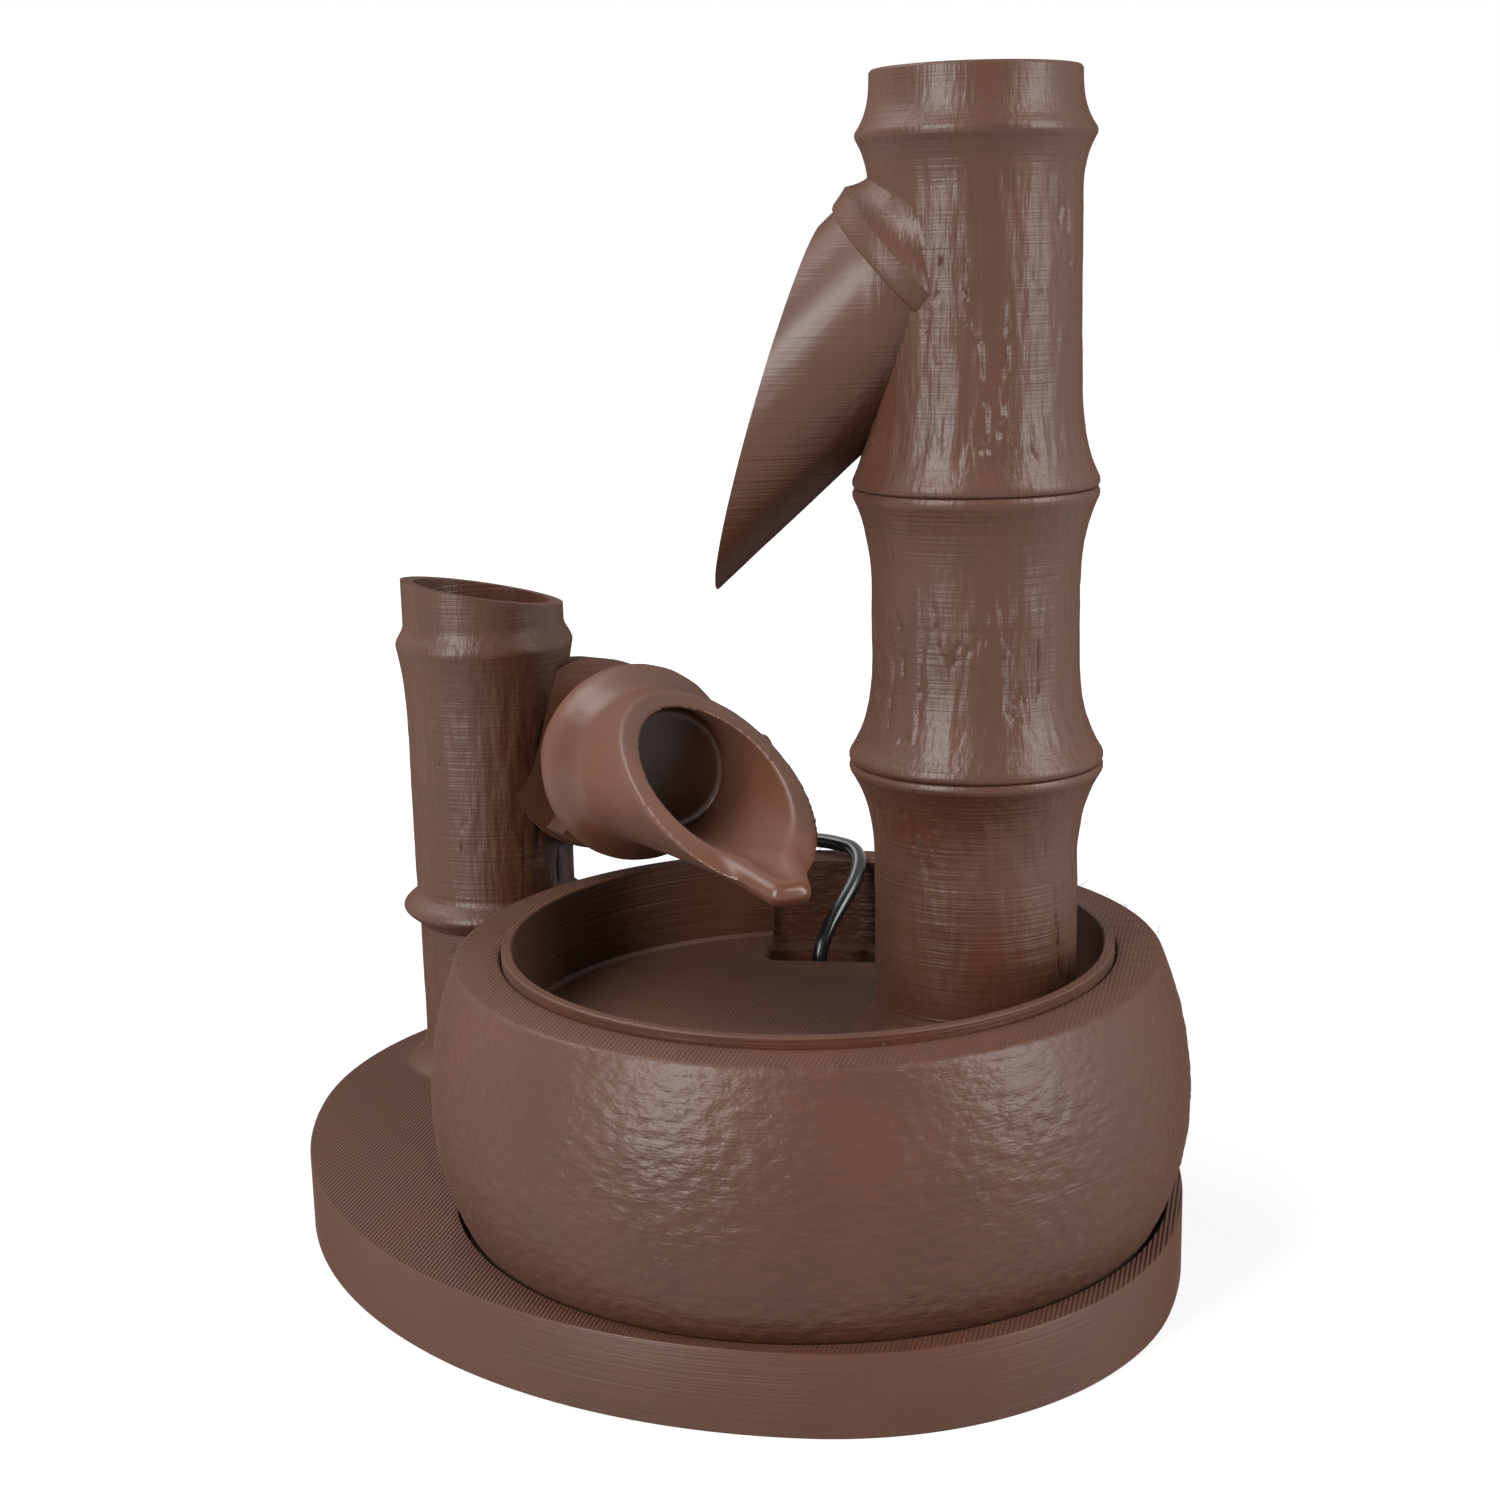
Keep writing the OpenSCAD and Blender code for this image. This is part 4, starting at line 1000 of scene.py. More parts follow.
@dataclass
class Cable(Assembly):
    """The pump's cable, over the rim, down behind the bowl and into its coil, in mm."""

    diameter: float = 3.4
    lead: float = 5.1
    coil_centre: tuple[float, float] = (105.8, 78.1)
    coil_out: float = 24.8
    coil_turns: float = 3.0
    rise_turns: float = 0.5
    chord_turns: float = 1 / 24
    coil_from: float = 145.0
    coil_z: float = 1.8
    coil_step: float = 4.3
    ring_steps: int = 36
    gland_end: Point = (27.0, -4.3, 29.1)
    plug_at: Point = (108.0, 30.0, 4.0)
    rib_size: Point = (0.7, 0.9, 4.4)
    rib_pitch: float = 1.9
    rib_side: float = 7.5
    rib_back: float = 21.5
    contact_size: Point = (7.5, 1.1, 0.16)
    contact_pitch: float = 2.3
    contact_from: Point = (3.45, -32.2, 0.02)

    @property
    def all_turns(self) -> float:
        """Give the turns of both rounds of the coil and of the rise between them."""
        return 2 * self.coil_turns + self.rise_turns

    def run_points(self) -> list[Point]:
        """List the route from the gland to the coil.

        Returns:
            The points of the route, in mm.
        """
        x, y, z = self.gland_end
        near = [(x + a, y + b, z + c) for a, b, c in (
            (0, 0, 0), (0, 3.8, 0), (0, 6.7, 1.4), (-0.6, 8.7, 5.4), (-1.4, 9.3, 10.9))]
        over = [(25, 5, 46), (25.5, 5.4, 51.5), (28.5, 6.4, 56.5), (33, 8, 60.5), (38, 10.2, 64.5),
                (41.5, 13.4, 67.8), (43, 18, 69.6), (42.5, 23, 69.8), (40.6, 28, 69.8),
                (39, 32.8, 68.8), (37.8, 36.6, 64.5), (37.3, 39.8, 59.5), (37.2, 42.4, 52),
                (37.4, 43.8, 44), (38, 45, 36), (39.6, 46.8, 28.5), (43, 49.6, 22), (48, 53, 19),
                (54, 57, 18.4), (61, 62.5, 18.4), (67.5, 68.5, 18.7), (72.6, 73.6, 17.8),
                (76.4, 78.2, 11.5), (79, 82.4, 5.4)]
        return near + over + [self.beside(self.on_coil(0.0), self.on_coil(self.chord_turns))]

    def on_coil(self, t: float) -> Point:
        """Find a point of the coil.

        Args:
            t: Turns from the start of the coil.

        Returns:
            The point, in mm.
        """
        inward = min(t, self.coil_turns, self.all_turns - t)
        rise = min(1.0, max(0.0, (t - self.coil_turns) / self.rise_turns))
        a = math.radians(self.coil_from - 360.0 * t)
        r = self.coil_out - self.coil_step * inward
        return (self.coil_centre[0] + r * math.cos(a), self.coil_centre[1] + r * math.sin(a),
                self.coil_z + self.coil_step * rise)

    def beside(self, end: Point, inner: Point) -> Point:
        """Give the point one straight lead beyond an end of the coil."""
        way = Vector(end) - Vector(inner)
        return tuple(Vector(end) + way.normalized() * self.lead)

    def points(self) -> list[Vector]:
        """Join route, coil and tail.

        Returns:
            The whole centreline, smoothed, in metres.
        """
        coil = [self.on_coil(i / self.ring_steps) for i in range(int(self.all_turns * self.ring_steps) + 1)]
        x, y, z = self.plug_at
        tail = [self.beside(coil[-1], self.on_coil(self.all_turns - self.chord_turns)), (119.3, 54.1, 5.4),
                (115.5, 48.5, 4.7), (112.3, 43.6, 4.2), (109.6, 39.2, 4.0), (x, y + self.lead, z),
                self.plug_at]
        first = self.smooth(self.run_points() + coil[:2])
        last = self.smooth(coil[-2:] + tail)
        return [Vector(p) * MM for p in first[:-4] + coil[1:-1] + last[4:]]

    @staticmethod
    def smooth(points: Sequence[Point], parts: int = 4) -> list[Point]:
        """Run a smooth curve through points.

        Args:
            points: Points to pass through.
            parts: Steps between two points.

        Returns:
            The points of the curve.
        """
        p = [np.array(q, float) for q in points]
        p = [2 * p[0] - p[1]] + p + [2 * p[-1] - p[-2]]
        out = []
        for i in range(1, len(p) - 2):
            for k in range(parts):
                t = k / parts
                out.append(tuple(0.5 * (2 * p[i] + (p[i + 1] - p[i - 1]) * t
                                        + (2 * p[i - 1] - 5 * p[i] + 4 * p[i + 1] - p[i + 2]) * t * t
                                        + (3 * p[i] - p[i - 1] - 3 * p[i + 1] + p[i + 2]) * t ** 3)))
        return out + [tuple(p[-2])]

    def build(self) -> None:
        """Lay the cable and dress its plug."""
        line = self.points()
        data = bpy.data.curves.new("cable", "CURVE")
        data.dimensions = "3D"
        data.bevel_depth = self.diameter / 2 * MM
        data.bevel_resolution = 4
        data.use_fill_caps = True
        spline = data.splines.new("POLY")
        spline.points.add(len(line) - 1)
        spline.points.foreach_set("co", [c for p in line for c in (*p, 1.0)])
        data.materials.append(Finish.CABLE.material())
        cable = link("cable", data)
        hand_over(cable, Body.BASE, "cable", "cable_run", "cable_coil", "cable_tail")
        length = sum((b - a).length for a, b in zip(line, line[1:]))
        repaint(Finish.CABLE, "plug_body")
        repaint(Finish.STEEL, "plug_shell")
        tuple(c * MM for c in self.gland_end)
        LOG.info("cable is %.3f m long", length)
        self.plug_details()

    def plug_details(self) -> None:
        """Set ribs on both sides of the plug and contacts in its shell."""
        x, y, z = self.plug_at
        for side, name in ((-1.0, "left"), (1.0, "right")):
            ribs = self.trees.rib_row(f"plug_ribs_{name}", Finish.CABLE, 6, self.rib_pitch, self.rib_size)
            place(ribs, at(x + side * self.rib_side, y - self.rib_back, z))
            hand_over(ribs, Body.BASE, "cable")
        contacts = self.trees.rib_row("plug_contacts", Finish.GOLD, 4, self.contact_pitch,
                                      self.contact_size)
        place(contacts, turned(90.0, "Z"), at(*(a + b for a, b in zip(self.plug_at, self.contact_from))))
        hand_over(contacts, Body.BASE, "steel")


@dataclass
class BasePlate(Assembly):
    """Egg-shaped plate with the bowl's recess and the post's stub, in mm."""

    front_r: float = 69.4
    back_r: float = 83.0
    gap: float = 61.2
    side_r: float = 120.0
    arc_steps: tuple[int, int, int] = (70, 60, 80)
    edge: float = 0.5
    edge_mid: tuple[float, float] = (0.13, 0.14)
    recess_r: float = 73.08
    stub_r: float = 18.2
    stub_h: float = 35.3
    foot_r: float = 24.0
    foot_h: float = 8.0
    spigot_r: float = 15.4
    spigot_h: float = 12.0
    bore_r: float = 12.4
    soft: float = 4.0
    relief: Relief = Relief(0.5, 5.0, 14.0, 0.3, 4.0)

    @property
    def stub_top(self) -> float:
        """Give the height of the stub's shoulder."""
        return self.layout.plate_t + self.stub_h

    def outline(self, inset: float) -> list[tuple[float, float]]:
        """Give the egg's outline, moved inwards.

        Args:
            inset: Distance inwards in mm.

        Returns:
            Points, anticlockwise from the narrow end.
        """
        front = -(self.gap + self.back_r - self.front_r) / 2
        a, b = self.side_r - self.front_r, self.side_r - self.back_r
        k = (a * a - b * b + self.gap ** 2) / (2 * self.gap)
        c = math.sqrt(a * a - k * k)
        turn1, turn2 = math.atan2(-k, c), math.atan2(self.gap - k, c)
        arcs = [((0.0, front), self.front_r, -QUARTER, turn1),
                ((-c, front + k), self.side_r, turn1, turn2),
                ((0.0, front + self.gap), self.back_r, turn2, QUARTER)]
        right = [(x + (r - inset) * math.cos(lerp(t0, t1, i / n)),
                  y + (r - inset) * math.sin(lerp(t0, t1, i / n)))
                 for ((x, y), r, t0, t1), n in zip(arcs, self.arc_steps) for i in range(n)]
        right.append((0.0, front + self.gap + self.back_r - inset))
        return right + [(-x, y) for x, y in reversed(right[1:-1])]

    def slab(self) -> bpy.types.Object:
        """Make the slab with softened edges.

        Returns:
            The solid.
        """
        t, e, (down, inwards) = self.layout.plate_t, self.edge, self.edge_mid
        levels = [(0.0, e), (e, 0.0), (t - e, 0.0), (t - down, inwards), (t, e)]
        return stack("plate", [self.outline(inset) for _, inset in levels], [z for z, _ in levels])

    def stub(self) -> bpy.types.Object:
        """Make the stub that the post's sleeve slides over.

        Returns:
            The solid, in place.
        """
        t, top, end = self.layout.plate_t, self.stub_top, self.stub_top + self.spigot_h
        foot = [(self.foot_r - (self.foot_r - self.stub_r) * math.sin(a),
                 t + self.foot_h * (1 - math.cos(a))) for a in (QUARTER * i / 12 for i in range(13))]
        body = wall(lambda z: self.stub_r, t + self.foot_h, top - 0.6, 0.6,
                    lambda z: fade(z, t + self.foot_h + self.soft, top - self.soft, self.soft))
        rows = [(0.0, t - 1), (self.foot_r, t - 1)] + foot + body[1:] + [
            (self.stub_r - self.edge, top), (self.spigot_r, top), (self.spigot_r, end), (0.0, end)]
        stub = self.trees.press(lathe("stub", rows, 220), Finish.PLAIN, self.relief)
        return place(stub, self.layout.post_at(0.0))

    def build(self) -> None:
        """Make the plate."""
        plate = carve(self.slab(), Cut.JOIN, self.stub())
        recess = rod("recess", self.recess_r, self.layout.bowl_z, self.layout.plate_t + 2, 256)
        hollow = rod("hollow", self.bore_r, self.stub_top - self.spigot_h,
                     self.stub_top + self.spigot_h + 2, 96)
        carve(plate, Cut.TAKE, place(recess, self.layout.bowl_at(0.0)),
              place(hollow, self.layout.post_at(0.0)))
        plate.name = "plate_with_stub"
        hand_over(dress(plate, Finish.PLAIN), Body.BASE, "brown_print", "base_plate")


@dataclass
class Bowl(Assembly):
    """Hammered bowl, in mm from its own foot."""

    height: float = 56.8
    rim_r: float = 71.0
    bulge_r: float = 77.0
    foot_r: float = 69.0
    bulge_drop: float = 29.0
    mouth_r: float = 62.0
    ledge_r: float = 56.0
    floor_t: float = 3.0
    ledge_z: float = 37.2
    edge: float = 0.6
    mouth_edge: float = 0.4
    plain_foot: float = 9.0
    plain_rim: float = 13.0
    relief: Relief = Relief(1.1, 2.3, 1.7, 0.0, 11.0)
    hair_length: float = 2.4

    def outside(self, z: float) -> float:
        """Give the outer radius at a height.

        Args:
            z: Height from the foot.

        Returns:
            The radius, in mm.
        """
        wide = self.height - self.bulge_drop
        if z > wide:
            return self.bulge_r - (self.bulge_r - self.rim_r) * ((z - wide) / self.bulge_drop) ** 2
        return self.bulge_r - (self.bulge_r - self.foot_r) * ((wide - z) / wide) ** 2

    def build(self) -> None:
        """Make the bowl and the hairs on its rim."""
        h, r, m = self.height, self.rim_r, self.mouth_r
        skin = wall(self.outside, 0.5, h - 0.7, 0.9,
                    lambda z: fade(z, self.plain_foot, h - self.plain_rim, 8.0))
        rows = [(0.0, 0.0), (self.foot_r - self.edge, 0.0)] + skin + [
            (r - 0.12, h - 0.22), (r - self.edge, h), (m + self.mouth_edge, h), (m, h - self.mouth_edge),
            (m, self.ledge_z), (self.ledge_r, self.ledge_z), (self.ledge_r, self.floor_t),
            (0.0, self.floor_t)]
        bowl = self.trees.press(lathe("bowl_shell", rows, 500), Finish.HAMMERED, self.relief)
        place(bowl, self.layout.bowl_at(self.layout.bowl_z))
        hand_over(dress(bowl, Finish.HAMMERED), Body.BASE, "brown_print", "bowl")
        for name, radius, count, seed in (("rim_hairs_outer", r - 0.4, 46, 3),
                                          ("rim_hairs_inner", m + 0.6, 26, 9)):
            hairs = self.trees.wisps.run(new_piece(name), Finish.PLAIN, {
                "Radius": radius * MM, "Count": count, "Length": self.hair_length * MM, "Seed": seed})
            place(hairs, self.layout.bowl_at(self.layout.rim_z))
            hand_over(hairs, Body.BASE, "brown_print")


@dataclass
class Tray(Assembly):
    """Liner that hangs in the bowl, with the lowest piece of bamboo on it, in mm."""

    out_r: float = 61.7
    in_r: float = 59.6
    top_z: float = 69.4
    edge: float = 0.3
    floor_round: float = 0.8
    notch_w: float = 28.0
    notch_reach: float = 39.0
    notch_dir: float = 51.5
    corner: float = 4.0

    def notch(self) -> bpy.types.Object:
        """Make the tool that cuts the cable's notch.

        Returns:
            The tool, in place.
        """
        far, half, c = self.out_r + 14.0, self.notch_w / 2, self.corner
        low = [(self.notch_reach + c - c * math.cos(a), -half + c - c * math.sin(a))
               for a in (QUARTER * i / 8 for i in range(9))]
        outline = [(far, -half)] + low[::-1] + [(x, -y) for x, y in low] + [(far, half)]
        tool = prism("notch", outline, self.layout.tray_z - 1, self.top_z + 2)
        return place(tool, turned(self.notch_dir, "Z"), self.layout.bowl_at(0.0))

    def build(self, stem: "Stem") -> None:
        """Make the tray.

        Args:
            stem: The tall bamboo.
        """
        z0, floor, top, e = self.layout.tray_z, self.layout.tray_floor_z, self.top_z, self.edge
        pan = lathe("tray_and_riser", [
            (0, z0), (self.out_r, z0), (self.out_r, top - e), (self.out_r - e, top), (self.in_r + e, top),
            (self.in_r, top - e), (self.in_r, floor + self.floor_round),
            (self.in_r - self.floor_round, floor), (0, floor)], 320)
        place(pan, self.layout.bowl_at(0.0))
        inside = place(rod("inside", self.out_r - 0.1, floor - 1, 130, 320), self.layout.bowl_at(0.0))
        carve(pan, Cut.JOIN, carve(stem.riser(), Cut.KEEP, inside))
        bore = place(rod("bore", stem.bore_r, z0 - 1, 120, 96), self.layout.stem_at(0.0))
        carve(pan, Cut.TAKE, bore, self.notch())
        hand_over(dress(pan, Finish.STEM), Body.BASE, "brown_print", "tray")


@dataclass
class Stem(Assembly):
    """The tall bamboo in its three pieces, in mm."""

    waist: float = 20.1
    foot_r: float = 26.0
    foot_h: float = 8.0
    low_r: float = 24.9
    high_r: float = 23.7
    ring_r: float = 22.5
    rim_r: float = 19.8
    riser_len: float = 55.6
    middle_len: float = 53.4
    top_len: float = 76.9
    ring_drop: float = 11.6
    ring_flares: tuple[float, float] = (11.0, 13.0)
    bore_r: float = 15.0
    spigot_r: float = 17.4
    socket_r: float = 17.6
    spigot_h: float = 8.0
    socket_h: float = 8.6
    hose_r: float = 5.1
    chamber_r: float = 16.4
    chamber_z: tuple[float, float] = (10.0, 13.0)
    cup_r: tuple[float, float] = (16.8, 17.2)
    cup_h: float = 9.0
    band: float = 1.6
    flare_h: float = 22.0
    edge: tuple[float, float] = (0.8, 0.25)
    plain: float = 8.0
    plain_top: float = 20.0
    soft: float = 6.0
    row_step: float = 0.55
    segments: int = 260
    riser_relief: Relief = replace(BARK, crack=0.32, seed=2.0)
    middle_relief: Relief = replace(BARK, crack=0.34, seed=5.0)
    top_relief: Relief = replace(BARK, crack=0.36, seed=8.0)

    def end_flare(self, d: float, r: float) -> float:
        """Give what an end of radius r adds to the waist at a distance d from it."""
        return flare(max(0.0, d - self.band), r - self.waist, self.flare_h)

    def segment(self, z: float, length: float, low: float, high: float) -> float:
        """Give the radius of a plain segment at a height."""
        return self.waist + self.end_flare(z, low) + self.end_flare(length - z, high)

    def lip(self, r: float, z: float, upper: bool) -> list[Row]:
        """Soften an upper or lower lip.

        Args:
            r: Radius of the wall at the lip.
            z: Height of the lip.
            upper: Whether the lip is the wall's upper end.

        Returns:
            Its two rows, upwards.
        """
        big, small = self.edge
        if upper:
            return [(r - small, z - small), (r - big, z)]
        return [(r - big, z), (r - small, z + small)]

    def riser(self) -> bpy.types.Object:
        """Make the solid of the lowest piece, which the tray carries.

        Returns:
            The solid, in place.
        """
        n, end = self.riser_len, self.riser_len + self.spigot_h

        def shape(z: float) -> float:
            """Radius with the foot fillet."""
            foot = self.foot_r - (self.foot_r - self.waist) * math.sin(
                math.acos(max(0.0, 1.0 - z / self.foot_h))) if z < self.foot_h else 0.0
            return max(self.segment(z, n, self.waist, self.low_r), foot)

        body = wall(shape, 0.0, n - self.edge[0], self.row_step,
                    lambda z: fade(z, self.foot_h + self.soft, n - self.plain, self.soft))
        rows = [(0.0, -1.0), (self.foot_r, -1.0)] + body + self.lip(self.low_r, n, True) + [
            (self.spigot_r, n), (self.spigot_r, end), (0.0, end)]
        obj = place(lathe("riser", rows, self.segments), self.layout.stem_at(self.layout.tray_floor_z))
        return self.trees.press(obj, Finish.BAMBOO, self.riser_relief)

    def middle(self) -> None:
        """Make the middle piece."""
        n, end = self.middle_len, self.middle_len + self.spigot_h
        body = wall(lambda z: self.segment(z, n, self.low_r, self.high_r), self.edge[0], n - self.edge[0],
                    self.row_step, lambda z: fade(z, self.plain, n - self.plain, self.soft))
        rows = self.lip(self.low_r, 0.0, False) + body + self.lip(self.high_r, n, True) + [
            (self.spigot_r, n), (self.spigot_r, end), (self.bore_r, end), (self.bore_r, self.socket_h),
            (self.socket_r, self.socket_h), (self.socket_r, 0.0)]
        obj = lathe("bamboo_middle_skin", rows, self.segments, ring=True)
        place(obj, self.layout.stem_at(self.layout.tray_floor_z + self.riser_len))
        self.trees.press(obj, Finish.BAMBOO, self.middle_relief)
        hand_over(dress(obj, Finish.BAMBOO), Body.MIDDLE, "brown_print", "bamboo_middle")

    def top_shape(self, z: float) -> float:
        """Give the top piece's radius at a height.

        Args:
            z: Height from the piece's lower end.

        Returns:
            The radius, in mm.
        """
        over = z - (self.top_len - self.ring_drop)
        above, below = self.ring_flares
        return (lerp(self.waist, self.rim_r, z / self.top_len) + self.end_flare(z, self.high_r)
                + flare(max(0.0, abs(over) - 0.5), self.ring_r - self.rim_r, above if over > 0 else below))

    def top_tools(self) -> tuple[bpy.types.Object, bpy.types.Object]:
        """Make the tools that hollow the top piece below and above its ring.

        Returns:
            The tool below and the one above, at the origin.
        """
        n, ring = self.top_len, self.top_len - self.ring_drop
        low, high = self.chamber_z
        inside = lathe("inside", [
            (0, -1), (self.socket_r, -1), (self.socket_r, self.socket_h), (self.bore_r, self.socket_h),
            (self.bore_r, low), (self.hose_r, low), (self.hose_r, high), (self.chamber_r, high),
            (self.chamber_r, ring), (0, ring)], 128)
        (r, rim), foot = self.cup_r, n - self.cup_h
        cup = lathe("cup", [(0, foot), (r, foot), (r, n - 0.3), (rim, n + 1), (0, n + 1)], 200)
        return inside, cup

    def top(self, spout: "Spout") -> None:
        """Make the top piece with its spout.

        Args:
            spout: The spout.
        """
        n, z0 = self.top_len, self.layout.tray_floor_z + self.riser_len + self.middle_len
        body = wall(self.top_shape, self.edge[0], n - 0.5, self.row_step,
                    lambda z: fade(z, self.plain, n - self.plain_top, self.soft))
        rows = [(0.0, 0.0)] + self.lip(self.high_r, 0.0, False) + body + [(self.rim_r - 0.35, n), (0.0, n)]
        obj = place(lathe("bamboo_top_and_spout", rows, self.segments), self.layout.stem_at(z0))
        self.trees.press(obj, Finish.BAMBOO, self.top_relief)
        carve(obj, Cut.JOIN, spout.solid(z0 + n))
        tools = [place(tool, self.layout.stem_at(z0)) for tool in self.top_tools()]
        carve(obj, Cut.TAKE, *tools, spout.bore(z0 + n))
        hand_over(dress(obj, Finish.STEM), Body.TOP, "brown_print", "bamboo_top")


@dataclass
class Spout(Assembly):
    """Slanted spout of the tall bamboo, in mm along its own axis."""

    radius: float = 18.5
    thick: float = 2.4
    length: float = 86.0
    slope: float = 42.4
    turn: float = 137.0
    cut: float = 30.2
    drop: float = 25.6
    ring_r: float = 20.2
    ring_at: float = 14.6
    ring_w: float = 9.0
    relief: Relief = Relief(0.35, 4.0, 16.0, 0.0, 3.0)

    def axes(self, top_z: float) -> Matrix:
        """Give the matrix that lays the local Z axis down the spout's axis.

        Args:
            top_z: Height of the stem's top in mm.

        Returns:
            The matrix, in metres.
        """
        return self.layout.stem_at(top_z - self.drop) @ (
            turned(self.turn, "Z") @ turned(self.slope, "Y") @ turned(90.0, "Y"))

    def solid(self, top_z: float) -> bpy.types.Object:
        """Make the spout's solid with its ring and slanted end.

        Args:
            top_z: Height of the stem's top in mm.

        Returns:
            The solid, in place.
        """
        r, start, end = self.radius, self.ring_at - self.ring_w / 2, self.ring_at + self.ring_w / 2
        back = [(r + (self.ring_r - r) * t ** 1.8, lerp(start, self.ring_at - 0.1, t))
                for t in (0, 0.25, 0.5, 0.75, 0.92)]
        front = [(lerp(self.ring_r, r + 0.85, t) - 0.25 * t * (1 - t), lerp(self.ring_at, end - 0.5, t))
                 for t in (0.0, 0.06, 0.3, 0.6, 0.93)]
        skin = wall(lambda z: r, end, self.length + 3, 0.7,
                    lambda z: fade(z, end + 6, 2 * self.length, 4.0))
        rows = [(0.0, 0.0), (r, 0.0)] + back + front + [(r + 0.6, end - 0.25)] + skin + [
            (0.0, self.length + 3)]
        obj = self.trees.press(lathe("spout", rows, 220), Finish.BAMBOO, self.relief)
        return place(carve(obj, Cut.TAKE, self.slant()), self.axes(top_z))

    def slant(self) -> bpy.types.Object:
        """Make the tool that cuts the end; -X points up from the axis, which runs along Z.

        Returns:
            The tool, at the origin.
        """
        r, far = self.radius, 2 * self.length
        run = 2 * r / math.tan(math.radians(self.cut))
        side = [(-r, self.length), (r, self.length - run), (3 * r, self.length - 2 * run), (3 * r, far),
                (-2 * r, far), (-2 * r, self.length + run / 2)]
        upright = Matrix(((-1, 0, 0, 0), (0, 0, 1, 0), (0, 1, 0, 0), (0, 0, 0, 1)))
        return place(prism("slant", side, -2 * r, 2 * r), upright)

    def bore(self, top_z: float) -> bpy.types.Object:
        """Make the tool that bores the spout."""
        return place(rod("spout bore", self.radius - self.thick, 4, self.length + 6, 200), self.axes(top_z))


@dataclass
class Post(Assembly):
    """Sleeve of the short post, in mm from its lower end."""

    radius: float = 18.6
    ring_r: float = 20.5
    lip_r: float = 21.9
    bore_r: float = 15.6
    length: float = 77.5
    slant: float = 10.5
    fall: float = -14.0
    bottom: float = 51.9
    lip_at: float = 3.4
    ring_drop: float = 12.0
    relief: Relief = replace(BARK, crack=0.36, seed=14.0)

    def shape(self, z: float) -> float:
        """Give the outer radius at a height.

        Args:
            z: Height from the sleeve's lower end.

        Returns:
            The radius, in mm.
        """
        d = self.length - self.ring_drop - z
        ring = self.ring_r - self.radius
        return (self.radius + bump(z - self.lip_at, self.lip_r - self.radius, self.lip_at + 0.8)
                + (flare(d, ring, 26.0) if d > 0 else bump(d, ring, 5.0)))

    def build(self) -> None:
        """Make the sleeve and dress what it carries."""
        top, wide = self.length + 14.0, 60.0
        rows = wall(self.shape, 0.0, top, 0.55, lambda z: fade(z, 13.0, self.length - 22.0, 5.0)) + [
            (self.bore_r, top), (self.bore_r, 0.0)]
        obj = lathe("post_sleeve_skin", rows, 240, ring=True)
        self.trees.press(obj, Finish.BAMBOO, self.relief)
        block = prism("slant", [(-wide, -wide), (wide, -wide), (wide, wide), (-wide, wide)], 0.0, 50.0)
        place(block, at(0, 0, self.length) @ turned(self.fall, "Z") @ turned(self.slant, "Y"))
        place(carve(obj, Cut.TAKE, block), self.layout.post_at(self.bottom))
        hand_over(dress(obj, Finish.BAMBOO), Body.SLEEVE, "brown_print", "post_sleeve")
        repaint(Finish.PLAIN, "tipper_bracket")
        repaint(Finish.STEEL, "pivot_pin")
        repaint(Finish.NYLON, "thrust_washer")


